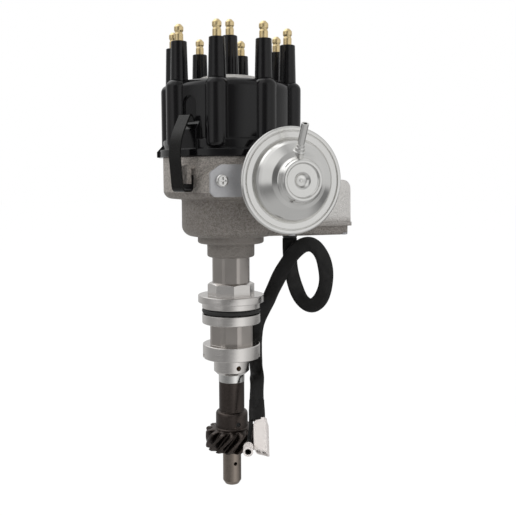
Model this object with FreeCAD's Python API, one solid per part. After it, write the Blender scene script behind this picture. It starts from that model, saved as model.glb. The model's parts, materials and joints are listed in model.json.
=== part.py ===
"""Ignition distributor for a V8 engine, with vacuum advance and a side-mounted module box.

Millimetres. The origin is on the shaft axis at the underside of the mounting flange, and +Z is up.
Bearings are measured from -Y towards +X. The side frame turns with the vacuum canister: s runs along
its bracket, d runs out along the canister's axis.
"""

import FreeCAD
import Part

import math
import os

# Clearances
RUN_GAP = 0.05  # radial, of a shaft or pivot that turns
FIT_GAP = 0.02  # radial, of a pressed piece
END_FLOAT = 0.3  # between faces that turn past each other
LOOSE_GAP = 0.25  # of a loosely hooked pin

# Shaft
SHAFT_R = 6.35
SPINDLE_R = 5.0
SHAFT_TAIL = 25.0  # below the gear
SHAFT_CHAMFER = 1.5
SHAFT_CHAMFER_L = 2.4
SOCKET_FLATS = 7.94
SOCKET_DEPTH = 16.0
TAIL_HOLE_R = 1.3
TAIL_HOLE_UP = 15.3  # above the shaft's lower end
PIN_BEARING = 24.0

# Gear
GEAR_TEETH = 14
GEAR_OUTER_R = 18.2
GEAR_ROOT_R = 13.9
GEAR_FACE = 15.3
GEAR_HELIX = 44.0
GEAR_BEVEL = 1.3
HUB_R = 11.0
HUB_L = 11.6
SLEEVE_R = 8.75
SLEEVE_L = 20.9
GEAR_PIN_R = 1.6
GEAR_PIN_UP = 4.0  # above the teeth
THRUST_RING_R = 8.9
THRUST_RING_L = 5.2

# Housing, lower part
FLANGE_R = 22.5
FLANGE_L = 4.9
PILOT_R = 19.85
PILOT_L = 14.4
SEAL_SECTION = 3.5
SEAL_PROUD = 0.12
SEAL_DOWN = 5.9  # from the flange to the middle of the seal
SEAL_SIDE = 0.35
LOWER_SHANK_R = 14.9
LOWER_SHANK_L = 14.4
OIL_COLLAR_R = 19.6
OIL_COLLAR_L = 9.6
OIL_NOTCH = 3.0
BOSS_R = 12.1
BOSS_L = 11.3
BOSS_CHAMFER = 2.0
OIL_HOLE_R = 1.65
OIL_HOLE_UP = 5.3
OCTAGON_R = 16.0
OCTAGON_L = 8.4
OCTAGON_TURN = -15.5
UPPER_SHANK_R = 13.1
UPPER_SHANK_L = 17.4
SHANK_FLAT = 0.55  # how deep the flats on the shanks are cut
NECK_R = 16.0
NECK_L = 9.3
BASE_R = 22.3
BASE_L = 5.0

# Housing, bowls
LOWER_BOWL_R = 32.8
LOWER_BOWL_L = 25.5
UPPER_BOWL_R = 44.7
UPPER_BOWL_L = 26.5
BOWL_WALL = 3.5
FLOOR_T = 4.0
STEP_T = 3.8  # floor of the upper bowl
CAST_ROUND = 1.0

# Bushings
BUSH_WALL = 2.6
BUSH_L = 24.0
BUSH_PROUD = 1.5

# Side frame: vacuum canister, pad and module box
SIDE_BEARING = 18.0
CAN_OFFSET = 19.3  # of the canister's axis from the shaft
CAN_UP = 81.9
PAD_D = 46.5
PAD_LEFT = 28.6
PAD_RIGHT = 30.0
BRACKET_T = 2.0
PAD_INSET = 0.6  # of the pad behind the bracket's edges
PAD_FOOT = (-33.2, 29.9)  # s and d of the pad's left end on the bowl
BRACKET_H = 19.7
BRACKET_TOP_CUT = (6.9, 4.9)
BRACKET_LOW_CUT = 2.8
BRACKET_SCREWS = (-21.3, -3.0)
ROD_SLOT = 7.0

# Canister
CAN_R = 32.7
CAN_RIM_D = 58.4
CAN_RIM_T = 3.6
CAN_STEP_R = 25.6
CAN_DEPTH = 16.6  # of the front shell beyond its rim
CAN_BOSS_R = 12.9
CAN_BOSS_INNER_R = 10.2
CAN_DIMPLE_R = 4.7
CAN_CAVITY_DOWN = 4.6  # of the cavity's front below the boss
SHELL_T = 1.2
REAR_R = 22.0
REAR_FOOT_R = 15.0
NIPPLE_R = 2.2
NIPPLE_BORE = 1.3
NIPPLE_ROOT_R = 2.7
NIPPLE_COLLAR_R = 3.3
NIPPLE_COLLAR_L = 2.4
NIPPLE_LEAN = 30.0
NIPPLE_L = 15.7
NIPPLE_OUT = 19.2  # from the canister's axis to where it leaves the shell
DIAPHRAGM_T = 1.2
PULL_CUP_R = 17.0
ROD_W = 5.0
ROD_T = 1.5
ROD_TRAVEL = 3.36
PLATE_TURN = 10.0

# Module box
BOX_END = 81.0
BOX_FRONT = 18.0
BOX_BACK = 17.0
BOX_TOP = 82.3
BOX_OPEN = 50.9  # height of the edge that the cover closes
BOX_LIP = 1.0
BOX_LIP_H = 2.6
BOX_ROUND = 6.0
BOX_WALL = 3.0
COVER_START = 35.0
COVER_T = 6.3
COVER_INSET = 0.9
COVER_SCREW_R = 1.7
GROMMET_S = 41.0
GROMMET_D = 5.0
GROMMET_R = 5.4

# Clips
CLIP_BEARINGS = (-35.5, 144.5)
CLIP_W = 8.6
CLIP_T = 1.0
LUG_W = 9.5
LUG_OUT = 7.4  # beyond the bowl
LUG_PLATE_T = 4.0
LUG_TOP_T = 2.0
LUG_TOP_DOWN = 5.6  # from the rim to the top of the lug
LUG_H = 11.5
CLIP_HOOK_DOWN = 4.4  # of the hook's lowest bend below the lug

# Cap
CAP_FLANGE_R = 47.0
CAP_FLANGE_T = 4.6
CAP_STEP_R = 44.4
CAP_STEP_UP = 10.8
CAP_WALL_R = 41.5
CAP_BORE_R = 37.0
CAP_SHOULDER_UP = 49.0  # top of the cap's roof above the rim
CAP_ROUND = 6.0
CAP_ROOF_T = 4.0
SPIGOT_L = 2.0
SPIGOT_GAP = 0.2
PILLAR_R = 7.1
PILLAR_RING = 40.0
PILLAR_TOP_UP = 48.4
PILLAR_BOTTOM_UP = 5.4
TOWER_RING = 38.3
TOWER_COUNT = 8
TOWER_BEARING = -11.8
TOWER_TOP_UP = 72.3
TOWER_TOP_R = 5.0
TOWER_FOOT_R = 5.6
COIL_TOWER_UP = 79.7
DOME_R = 23.0
DOME_H = 4.4
CLIP_SEAT_W = 13.0
CLIP_SEAT_R = 45.4
CLIP_SEAT_UP = 21.5
CLIP_SEAT_SLOPE = 5.0
WINDOW_W = 10.9
WINDOW_TURN = -3.0  # from the clip's bearing
WINDOW_H = 16.0
WINDOW_DEPTH = 2.0
EAR_BEARING = -91.0
EAR_R = 48.2
EAR_W = 14.0
EAR_H = 3.6

# Terminals
TERMINAL_R = 2.95
TERMINAL_H = 10.6
TERMINAL_NECK_R = 2.3
TERMINAL_FOOT_R = 2.75
SHANK_R = 2.1
ELECTRODE_W = 4.0
ELECTRODE_H = 8.0
ELECTRODE_UP = 11.0  # above the rim
SPARK_GAP = 0.8
BUTTON_R = 2.4
BUTTON_L = 7.0
BUTTON_TRAVEL = 1.5
BUTTON_SPRING_L = 6.0
COIL_BOSS_R = 6.5

# Advance mechanism
ADVANCE_TURN = 12.0
ADVANCE_BASE_R = 26.5
ADVANCE_BASE_T = 2.0
WEIGHT_T = 4.0
WEIGHT_PIVOT = 20.0  # from the shaft axis
WEIGHT_TOE = 12.0  # toe pin from the shaft axis
WEIGHT_MEAN_R = 17.0
WEIGHT_HALF = 4.3
WEIGHT_SWEEP = 80.0
PIVOT_R = 1.6
TOE_PIN_R = 1.5
CARRIER_PLATE_R = 17.0
CARRIER_PLATE_T = 1.8
CARRIER_R = 7.6
CARRIER_TOP_R = 18.0
CARRIER_TOP_T = 2.0
CARRIER_TOP_UP = 4.0  # above the rim
SPRING_POST_R = 1.2
SPRING_POST_RING = 14.0
SPRING_BASE_RING = 24.0
SPRING_BASE_BEARING = 110.0
SPRING_WIRE = 0.8
SPRING_COIL_R = 1.9

# Pickup
BASE_PLATE_R = 38.0
BASE_PLATE_T = 1.5
PLATE_HUB_R = 13.5
PLATE_BORE_R = 10.5
PICKUP_PLATE_R = 30.0
PICKUP_PLATE_T = 1.5
SNAP_RING_T = 0.8
SNAP_RING_R = 15.2
RELUCTOR_R = 15.0
RELUCTOR_ROOT_R = 11.0
RELUCTOR_TEETH = 8
RELUCTOR_L = 8.0
RELUCTOR_DOWN = 4.5  # top of the reluctor below the rim
POLE_GAP = 0.6
PICKUP_OUT = 33.0
PICKUP_W = 22.0
PICKUP_H = 17.0
PLATE_SCREW_RING = 34.5
PIN_R = 1.5

# Rotor
ROTOR_BASE_R = 18.0
ROTOR_BASE_T = 3.0
ROTOR_H = 10.0
ROTOR_W = 16.0
BLADE_T = 1.0
BLADE_W = 6.0

# Screws
SCREW_R = 2.0
SCREW_HEAD_R = 4.0
SCREW_HEAD_H = 2.6
SCREW_L = 4.2
SMALL_SCREW_R = 1.5
SMALL_HEAD_R = 2.8
SMALL_HEAD_H = 1.6
SMALL_SCREW_L = 4.0

# Harness
LOOM_R = 3.0
LEAD_R = 1.4
BOOT_SIZE = (10.9, 7.0, 4.0)
PLUG_SIZE = (9.0, 7.4, 22.5)
PLUG_WALL = 1.2
PLUG_TURN = 18.0  # round its own length
TAIL_TILT = 30.0  # of the boot and plug from upright, lower end forward
BARREL_R = 3.3
BARREL_L = 9.5
BARREL_TILT = 5.0
BARREL_TURN = -3.0
LOOM_ROUTE = [
    (40.538, 7.914, 33.0),
    (41.5, 8.6, 20.0),
    (44.8, 8.4, 7.5),
    (49.0, 7.8, -1.5),
    (55.5, 6.4, -5.5),
    (61.5, 4.4, -1.0),
    (64.8, 2.0, 8.5),
    (65.2, -0.5, 19.5),
    (61.8, -2.8, 32.3),
    (54.5, -4.2, 40.1),
    (45.5, -3.8, 37.5),
    (36.5, 1.0, 24.0),
    (29.5, 8.5, 8.0),
    (23.5, 15.5, -8.0),
    (18.0, 19.2, -20.0),
    (16.6, 19.6, -31.0),
    (16.8, 17.7, -36.7),
    (16.9, 13.7, -41.8),
    (17.1, 7.1, -46.3),
    (17.3, -4.8, -51.6),
    (17.1, -11.1, -56.8),
]
LOOM_END_RUN = 12.5  # straight into the boot
BOOT_AT = (16.7, -20.9, -73.2)
PLUG_SHIFT = 2.6
LEAD_SHIFT = 4.1  # from the loom to the lead
LEAD_DROP = 4.0  # the lead's first run, along the boot
LEAD_CORNER = (11.1, -25.6, -90.1)
BARREL_RUN = 6.0  # the lead's last run, along the barrel's axis

# Heights worked out from the lengths
pilot_bottom = -PILOT_L
collar_top = pilot_bottom - LOWER_SHANK_L
collar_bottom = collar_top - OIL_COLLAR_L
boss_bottom = collar_bottom - BOSS_L
ring_top = boss_bottom - END_FLOAT
sleeve_top = ring_top - THRUST_RING_L
hub_top = sleeve_top - SLEEVE_L
teeth_top = hub_top - HUB_L
gear_bottom = teeth_top - GEAR_FACE
shaft_bottom = gear_bottom - SHAFT_TAIL
octagon_top = FLANGE_L + OCTAGON_L
neck_bottom = octagon_top + UPPER_SHANK_L
base_bottom = neck_bottom + NECK_L
lower_bowl_bottom = base_bottom + BASE_L
upper_bowl_bottom = lower_bowl_bottom + LOWER_BOWL_L
rim = upper_bowl_bottom + UPPER_BOWL_L
floor_top = lower_bowl_bottom + FLOOR_T
step_top = upper_bowl_bottom + STEP_T
lower_bore_r = LOWER_BOWL_R - BOWL_WALL
upper_bore_r = UPPER_BOWL_R - BOWL_WALL
bush_r = SHAFT_R + RUN_GAP + BUSH_WALL
upper_bush_top = floor_top + BUSH_PROUD
advance_base_bottom = upper_bush_top + END_FLOAT
advance_base_top = advance_base_bottom + ADVANCE_BASE_T
weight_bottom = advance_base_top + END_FLOAT
weight_top = weight_bottom + WEIGHT_T
carrier_bottom = weight_top + END_FLOAT
carrier_plate_top = carrier_bottom + CARRIER_PLATE_T
carrier_top = rim + CARRIER_TOP_UP
shaft_top = carrier_top
pickup_plate_bottom = step_top + BASE_PLATE_T + END_FLOAT
pickup_plate_top = pickup_plate_bottom + PICKUP_PLATE_T
reluctor_top = rim - RELUCTOR_DOWN
rotor_top = carrier_top + ROTOR_BASE_T + ROTOR_H
blade_top = rotor_top + BLADE_T
tower_top = rim + TOWER_TOP_UP
coil_tower_top = rim + COIL_TOWER_UP
roof_top = rim + CAP_SHOULDER_UP
electrode_bottom = rim + ELECTRODE_UP
blade_tip = TOWER_RING - SHANK_R - 1.0 - SPARK_GAP
cover_bottom = BOX_OPEN - COVER_T
bracket_front = PAD_D + BRACKET_T
can_front = CAN_RIM_D + CAN_RIM_T
can_tip = can_front + CAN_DEPTH
lug_top = rim - LUG_TOP_DOWN
lug_bottom = lug_top - LUG_H
lug_r = UPPER_BOWL_R + LUG_OUT


def point(x, y, z):
    return FreeCAD.Vector(x, y, z)


def bearing_point(radius, bearing, z):
    """The point at a radius and bearing from -Y towards +X."""
    turn = math.radians(bearing)
    return point(radius * math.sin(turn), -radius * math.cos(turn), z)


def outline(corners, place):
    """A closed wire through the corners (u, v, rounding radius), set in space by place(u, v)."""
    count = len(corners)
    starts, middles, ends = [], [], []
    for i, (u, v, radius) in enumerate(corners):
        here = point(u, v, 0)
        if radius == 0:
            starts.append(here)
            middles.append(None)
            ends.append(here)
            continue
        before = point(*corners[i - 1][:2], 0) - here
        after = point(*corners[(i + 1) % count][:2], 0) - here
        before.normalize()
        after.normalize()
        half = before.getAngle(after) / 2
        inward = before + after
        inward.normalize()
        centre = here + inward * (radius / math.sin(half))
        starts.append(here + before * (radius / math.tan(half)))
        middles.append(centre - inward * radius)
        ends.append(here + after * (radius / math.tan(half)))
    edges = []
    for i in range(count):
        start, middle, end = place(starts[i]), middles[i], place(ends[i])
        if middle is not None:
            edges.append(Part.Arc(start, place(middle), end).toShape())
        follow = place(starts[(i + 1) % count])
        if end.distanceToPoint(follow) > 1e-6:
            edges.append(Part.LineSegment(end, follow).toShape())
    return Part.Wire(edges)


def revolved(corners):
    """A solid turned about Z from corners (radius, height, rounding)."""
    wire = outline(corners, lambda p: point(p.x, 0, p.y))
    return Part.Face(wire).revolve(point(0, 0, 0), point(0, 0, 1), 360)


def prism(corners, bottom, top):
    """A solid with the outline (x, y, rounding) between two heights."""
    wire = outline(corners, lambda p: point(p.x, p.y, bottom))
    return Part.Face(wire).extrude(point(0, 0, top - bottom))


def cylinder(radius, bottom, top, x=0.0, y=0.0):
    return Part.makeCylinder(radius, top - bottom, point(x, y, bottom))


def tube(outer, inner, bottom, top, x=0.0, y=0.0):
    return cylinder(outer, bottom, top, x, y).cut(cylinder(inner, bottom - 1, top + 1, x, y))


def box(x0, x1, y0, y1, z0, z1):
    return Part.makeBox(x1 - x0, y1 - y0, z1 - z0, point(x0, y0, z0))


def slab(x0, x1, y0, y1, z0, z1, rounding):
    """A block whose upright edges are rounded."""
    corners = [(x0, y0, rounding), (x1, y0, rounding), (x1, y1, rounding), (x0, y1, rounding)]
    return prism(corners, z0, z1)


def turned(shape, bearing):
    """The shape, made on the -Y side, turned to a bearing."""
    copy = shape.copy()
    copy.rotate(point(0, 0, 0), point(0, 0, 1), bearing)
    return copy


def side(shape):
    """From the side frame with x = s, y = -d, z = height."""
    return turned(shape, SIDE_BEARING)


def outward(shape):
    """From a frame with x = s, y = height and z = d, so that a turned shape faces outward."""
    copy = shape.copy()
    copy.rotate(point(0, 0, 0), point(1, 0, 0), 90)
    return turned(copy, SIDE_BEARING)


def on_can(shape):
    """Like outward, for a shape centred on the canister's axis."""
    copy = shape.copy()
    copy.translate(point(CAN_OFFSET, CAN_UP, 0))
    return outward(copy)


def fused(shapes):
    whole = shapes[0].multiFuse(shapes[1:])
    return whole.removeSplitter()


def save(name, *shapes):
    shape = shapes[0] if len(shapes) == 1 else Part.makeCompound(list(shapes))
    shape.exportStep("parts/" + name + ".step")


def faceted(radius, bottom, top):
    """A round shank with eight shallow flats."""
    apothem = radius - SHANK_FLAT
    reach = apothem / math.cos(math.pi / 8)
    steps = [math.radians(22.5 + 45 * i) for i in range(8)]
    corners = [(reach * math.cos(a), reach * math.sin(a), 0) for a in steps]
    return prism(corners, bottom, top).common(cylinder(radius, bottom, top))


def cross_hole(radius, bearing, height, reach):
    """A round rod through the axis, for pins and the holes that take them."""
    rod = Part.makeCylinder(radius, 2 * reach, point(0, reach, height), point(0, -1, 0))
    return turned(rod, bearing)


def housing_outside():
    groove_r = PILOT_R + SEAL_PROUD - SEAL_SECTION - 0.1
    groove_top = -SEAL_DOWN + SEAL_SECTION / 2 + SEAL_SIDE
    groove_low = -SEAL_DOWN - SEAL_SECTION / 2 - SEAL_SIDE
    lower = revolved([
        (0, boss_bottom, 0),
        (BOSS_R - BOSS_CHAMFER, boss_bottom, 0),
        (BOSS_R, boss_bottom + BOSS_CHAMFER, 0),
        (BOSS_R, collar_bottom, 0.4),
        (OIL_COLLAR_R, collar_bottom, 0.6),
        (OIL_COLLAR_R, collar_top, 0.6),
        (LOWER_SHANK_R - SHANK_FLAT, collar_top, 0),
        (LOWER_SHANK_R - SHANK_FLAT, pilot_bottom, 0),
        (PILOT_R, pilot_bottom, 0.6),
        (PILOT_R, groove_low, 0),
        (groove_r, groove_low, 0),
        (groove_r, groove_top, 0),
        (PILOT_R, groove_top, 0),
        (PILOT_R, 0, 0),
        (FLANGE_R, 0, 0.5),
        (FLANGE_R, FLANGE_L, 0.5),
        (0, FLANGE_L, 0),
    ])
    steps = [math.radians(22.5 + OCTAGON_TURN + 45 * i) for i in range(8)]
    octagon = prism([(OCTAGON_R * math.cos(a), OCTAGON_R * math.sin(a), 0) for a in steps], FLANGE_L, octagon_top)
    crown = revolved([
        (0, FLANGE_L, 0),
        (OCTAGON_R, FLANGE_L, 0),
        (OCTAGON_R, octagon_top - 1.2, 0),
        (OCTAGON_R - 2.4, octagon_top, 0),
        (0, octagon_top, 0),
    ])
    upper = revolved([
        (0, neck_bottom, 0),
        (NECK_R, neck_bottom, 1.6),
        (NECK_R, base_bottom, CAST_ROUND),
        (BASE_R, base_bottom, 1.6),
        (BASE_R, lower_bowl_bottom, CAST_ROUND),
        (LOWER_BOWL_R, lower_bowl_bottom, 7.0),
        (LOWER_BOWL_R, upper_bowl_bottom - 1.0, CAST_ROUND),
        (UPPER_BOWL_R, upper_bowl_bottom, 5.5),
        (UPPER_BOWL_R, rim, 0.5),
        (0, rim, 0),
    ])
    return [
        lower,
        faceted(LOWER_SHANK_R, collar_top, pilot_bottom),
        octagon.common(crown),
        faceted(UPPER_SHANK_R, octagon_top, neck_bottom),
        upper,
    ]


def bracket_low():
    return CAN_UP - BRACKET_H / 2


def pad():
    """The flat pad on the upper bowl that the canister bracket is screwed to, slanted at its left."""
    low, high = bracket_low() + PAD_INSET, bracket_low() + BRACKET_H - PAD_INSET
    left, right = -PAD_LEFT + PAD_INSET, PAD_RIGHT - PAD_INSET
    deep = LOWER_BOWL_R / 2
    foot_s, foot_d = PAD_FOOT
    block = side(prism([
        (left, -PAD_D, 1.5),
        (right, -PAD_D, 1.5),
        (right, -deep, 0),
        (foot_s / 2, -deep, 0),
        (foot_s, -foot_d, 0),
    ], low, high))
    along, down = BRACKET_TOP_CUT
    reach = 12.0
    corner = outward(prism([
        (left + along, high, 0),
        (left, high - down, 0),
        (left - reach, high - down * (1 + reach / along), 0),
        (left - reach, high + 1, 0),
        (left + along, high + 1, 0),
    ], deep, PAD_D + 1))
    return block.cut(corner)


def box_outside():
    """The module box beside the bowls, rounded at its upper outer corner, with a lip round its open edge."""
    corners = [
        (0, BOX_OPEN, 0),
        (BOX_END, BOX_OPEN, 0),
        (BOX_END - 0.5, BOX_TOP, BOX_ROUND),
        (0, BOX_TOP, 0),
    ]
    wire = outline(corners, lambda p: point(p.x, BOX_BACK, p.y))
    body = Part.Face(wire).extrude(point(0, -(BOX_FRONT + BOX_BACK), 0))
    lip = slab(0, BOX_END + BOX_LIP, -BOX_FRONT - BOX_LIP, BOX_BACK + BOX_LIP, BOX_OPEN, BOX_OPEN + BOX_LIP_H, 2.0)
    low = slab(0, COVER_START, -BOX_FRONT, BOX_BACK, cover_bottom + 0.6, BOX_OPEN, 1.0)
    return [side(body), side(lip), side(low)]


def box_inside():
    return side(slab(
        COVER_START + BOX_WALL, BOX_END - BOX_WALL,
        -BOX_FRONT + BOX_WALL, BOX_BACK - BOX_WALL,
        BOX_OPEN - 1, BOX_TOP - BOX_WALL, 3.0,
    ))


def lug(bearing):
    """The cast hook that the lower end of a clip wraps round."""
    half = LUG_W / 2
    top = box(-half, half, -lug_r, -UPPER_BOWL_R + 1, lug_top - LUG_TOP_T, lug_top)
    plate = box(-half, half, -lug_r, -lug_r + LUG_PLATE_T, lug_bottom, lug_top)
    return turned(top.fuse(plate), bearing)


def housing():
    solids = housing_outside() + [pad()] + box_outside()
    solids += [lug(bearing) for bearing in CLIP_BEARINGS]
    body = fused(solids)
    hollow = revolved([
        (0, floor_top, 0),
        (lower_bore_r, floor_top, 4.0),
        (lower_bore_r, step_top, 0),
        (upper_bore_r, step_top, 1.5),
        (upper_bore_r, rim + 1, 0),
        (0, rim + 1, 0),
    ])
    bore = cylinder(bush_r + FIT_GAP, boss_bottom - 1, floor_top + 1)
    slot = outward(box(
        CAN_OFFSET - ROD_SLOT / 2, CAN_OFFSET + ROD_SLOT / 2,
        CAN_UP - ROD_SLOT / 2, CAN_UP + ROD_SLOT / 2,
        LOWER_BOWL_R / 2, PAD_D + 1,
    ))
    cuts = [hollow, bore, slot, box_inside(), oil_hole()] + oil_notches()
    cuts += [outward(cylinder(SCREW_R + FIT_GAP, PAD_D - SCREW_L - 0.3, PAD_D + 1, s, CAN_UP)) for s in BRACKET_SCREWS]
    cuts += [side(cylinder(COVER_SCREW_R + FIT_GAP, BOX_OPEN - 1, BOX_OPEN + 8, s, y)) for s, y in cover_screw_places()]
    cuts += [cylinder(SMALL_SCREW_R + FIT_GAP, upper_bowl_bottom + 0.8, step_top + 1, x, y) for x, y in plate_screw_places()]
    return body.cut(Part.makeCompound(cuts))


def oil_hole():
    hole = Part.makeCylinder(OIL_HOLE_R, BOSS_R + 1, point(0, 0, boss_bottom + OIL_HOLE_UP), point(0, -1, 0))
    return turned(hole, PIN_BEARING)


def oil_notches():
    """Square slots in the lower edge of the oil collar, as deep as the boss allows."""
    half = 2.2
    notch = box(-half, half, -OIL_COLLAR_R - 1, -BOSS_R - 2.0, collar_bottom - 1, collar_bottom + OIL_NOTCH)
    return [turned(notch, bearing) for bearing in (-75, 75, 165, 255)]


def cover_screw_places():
    inset = BOX_WALL + 0.6
    ends = (COVER_START + inset, BOX_END - inset)
    return [(s, y) for s in ends for y in (-BOX_FRONT + inset, BOX_BACK - inset)]


def plate_screw_places():
    places = [bearing_point(PLATE_SCREW_RING, SIDE_BEARING + turn, 0) for turn in (125, 305)]
    return [(place.x, place.y) for place in places]


def bushing(bottom):
    return tube(bush_r, SHAFT_R + RUN_GAP, bottom, bottom + BUSH_L)


def seal_ring():
    ring = Part.makeTorus(PILOT_R + SEAL_PROUD - SEAL_SECTION / 2, SEAL_SECTION / 2)
    ring.translate(point(0, 0, -SEAL_DOWN))
    return ring


def shaft():
    body = revolved([
        (0, shaft_bottom, 0),
        (SHAFT_R - SHAFT_CHAMFER, shaft_bottom, 0),
        (SHAFT_R, shaft_bottom + SHAFT_CHAMFER_L, 0),
        (SHAFT_R, advance_base_bottom, 0),
        (SPINDLE_R, advance_base_bottom, 0),
        (SPINDLE_R, shaft_top, 0.6),
        (0, shaft_top, 0),
    ])
    reach = SOCKET_FLATS / 2 / math.cos(math.pi / 6)
    steps = [math.radians(60 * i) for i in range(6)]
    socket = prism(
        [(reach * math.cos(a), reach * math.sin(a), 0) for a in steps],
        shaft_bottom - 1, shaft_bottom + SOCKET_DEPTH,
    )
    drain = cross_hole(TAIL_HOLE_R, PIN_BEARING - 2, shaft_bottom + TAIL_HOLE_UP, SHAFT_R + 1)
    pin = cross_hole(GEAR_PIN_R + FIT_GAP, PIN_BEARING, teeth_top + GEAR_PIN_UP, SHAFT_R + 1)
    return body.cut(socket).cut(drain).cut(pin)


def tooth_outline(turn, height):
    """The gear's outline at a height: straight flanks with rounded tips, turned by an angle in degrees."""
    pitch = 2 * math.pi / GEAR_TEETH
    start = math.radians(turn)
    shares = [(-0.40, GEAR_ROOT_R), (-0.13, GEAR_OUTER_R), (0.13, GEAR_OUTER_R), (0.40, GEAR_ROOT_R)]
    corners = []
    for i in range(GEAR_TEETH):
        for share, radius in shares:
            angle = start + pitch * (i + share)
            corners.append(point(radius * math.cos(angle), radius * math.sin(angle), height))
    return Part.makePolygon(corners + corners[:1])


def gear():
    """Helical gear with its hub and sleeve in one piece, pinned to the shaft."""
    twist = math.degrees(GEAR_FACE * math.tan(math.radians(GEAR_HELIX)) / GEAR_OUTER_R)
    steps = 4
    sections = [
        tooth_outline(twist * i / steps, gear_bottom + GEAR_FACE * i / steps)
        for i in range(steps + 1)
    ]
    teeth = Part.makeLoft(sections, True, False)
    blank = revolved([
        (0, gear_bottom, 0),
        (GEAR_ROOT_R, gear_bottom, 0),
        (GEAR_OUTER_R, gear_bottom + GEAR_BEVEL, 0),
        (GEAR_OUTER_R, teeth_top - GEAR_BEVEL, 0),
        (GEAR_ROOT_R - 0.4, teeth_top, 0),
        (0, teeth_top, 0),
    ])
    hub = revolved([
        (0, teeth_top - 1, 0),
        (HUB_R, teeth_top - 1, 0),
        (HUB_R, hub_top, 2.0),
        (SLEEVE_R, hub_top, 0.4),
        (SLEEVE_R, sleeve_top, 0.5),
        (0, sleeve_top, 0),
    ])
    body = teeth.common(blank).fuse(hub)
    bore = cylinder(SHAFT_R + FIT_GAP, gear_bottom - 1, sleeve_top + 1)
    pin = cross_hole(GEAR_PIN_R + FIT_GAP, PIN_BEARING, teeth_top + GEAR_PIN_UP, HUB_R + 1)
    return body.cut(bore).cut(pin)


def gear_pin():
    return cross_hole(GEAR_PIN_R, PIN_BEARING, teeth_top + GEAR_PIN_UP, HUB_R - 0.6)


def weight_places():
    """The bearings of the two weight pivots."""
    return (0.0, 180.0)


def advance_base():
    """Plate on the shaft that carries the weights, with its two spring posts."""
    plate = tube(ADVANCE_BASE_R, SPINDLE_R + FIT_GAP, advance_base_bottom, advance_base_top)
    posts = []
    for bearing in weight_places():
        at = bearing_point(SPRING_BASE_RING, bearing + SPRING_BASE_BEARING, 0)
        top = carrier_plate_top + 2 * SPRING_COIL_R + 0.8
        posts.append(cylinder(SPRING_POST_R, advance_base_top - 0.5, top, at.x, at.y))
    body = fused([plate] + posts)
    holes = []
    for bearing in weight_places():
        at = bearing_point(WEIGHT_PIVOT, bearing, 0)
        holes.append(cylinder(PIVOT_R + FIT_GAP, advance_base_bottom - 1, advance_base_top + 1, at.x, at.y))
    return body.cut(Part.makeCompound(holes))


def weight_pins():
    pins = []
    for bearing in weight_places():
        at = bearing_point(WEIGHT_PIVOT, bearing, 0)
        pins.append(cylinder(PIVOT_R, advance_base_bottom, carrier_bottom, at.x, at.y))
    return pins


def weight(bearing):
    """A flyweight: a pivot eye, a toe that reaches in with its pin, and a curved arm."""
    eye = cylinder(3.6, weight_bottom, weight_top, 0, -WEIGHT_PIVOT)
    toe = slab(-2.6, 2.6, -WEIGHT_PIVOT, -WEIGHT_TOE + 2.4, weight_bottom, weight_top, 1.2)
    pin = cylinder(TOE_PIN_R, weight_bottom, carrier_plate_top + 0.6, 0, -WEIGHT_TOE)
    sector = Part.makeCylinder(
        WEIGHT_MEAN_R + WEIGHT_HALF, WEIGHT_T, point(0, 0, weight_bottom), point(0, 0, 1), WEIGHT_SWEEP,
    )
    sector = sector.cut(cylinder(WEIGHT_MEAN_R - WEIGHT_HALF, weight_bottom - 1, weight_top + 1))
    sector.rotate(point(0, 0, 0), point(0, 0, 1), -90)
    end = bearing_point(WEIGHT_MEAN_R, WEIGHT_SWEEP, 0)
    tip = cylinder(WEIGHT_HALF, weight_bottom, weight_top, end.x, end.y)
    body = fused([eye, toe, pin, sector, tip])
    hole = cylinder(PIVOT_R + RUN_GAP, weight_bottom - 1, weight_top + 1, 0, -WEIGHT_PIVOT)
    return turned(body.cut(hole), bearing)


def spring_ends(bearing):
    """The base post and the carrier post of one advance spring."""
    spread = math.degrees(math.acos(SPRING_POST_RING / SPRING_BASE_RING))
    fixed = bearing_point(SPRING_BASE_RING, bearing + SPRING_BASE_BEARING, 0)
    moving = bearing_point(SPRING_POST_RING, bearing + SPRING_BASE_BEARING + spread, 0)
    return fixed, moving


def advance_spring(bearing):
    """A close-wound spring with a round eye on the base post and a long loop round the carrier post."""
    fixed, moving = spring_ends(bearing)
    length = fixed.distanceToPoint(moving)
    travel = SPRING_POST_RING * math.radians(ADVANCE_TURN)
    level = carrier_plate_top + SPRING_COIL_R + 0.4
    low, high = level - SPRING_WIRE / 2, level + SPRING_WIRE / 2
    inner = SPRING_POST_R + LOOSE_GAP
    outer = inner + SPRING_WIRE
    eye = tube(outer, inner, low, high)
    drift = SPRING_POST_RING * (1 - math.cos(math.radians(ADVANCE_TURN)))
    wide, narrow = outer + drift, inner + drift
    loop = slab(length - outer, length + travel + wide, -wide, wide, low, high, wide - 0.01)
    loop = loop.cut(slab(length - inner, length + travel + narrow, -narrow, narrow, low - 1, high + 1, narrow - 0.01))
    start, stop = outer + 0.6, length - outer - 0.6
    coils = 7
    step = (stop - start) / coils
    turns = [
        Part.makeCylinder(SPRING_COIL_R - 0.35 * (i % 2), step, point(start + i * step, 0, level), point(1, 0, 0))
        for i in range(coils)
    ]
    ends = [
        box(outer - SPRING_WIRE / 2, start, -0.4, 0.4, low, high),
        box(stop, length - outer + SPRING_WIRE / 2, -0.4, 0.4, low, high),
    ]
    body = fused([eye, loop] + turns + ends)
    toward = math.degrees(math.atan2(moving.y - fixed.y, moving.x - fixed.x))
    body.rotate(point(0, 0, 0), point(0, 0, 1), toward)
    body.translate(fixed)
    return body


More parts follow.
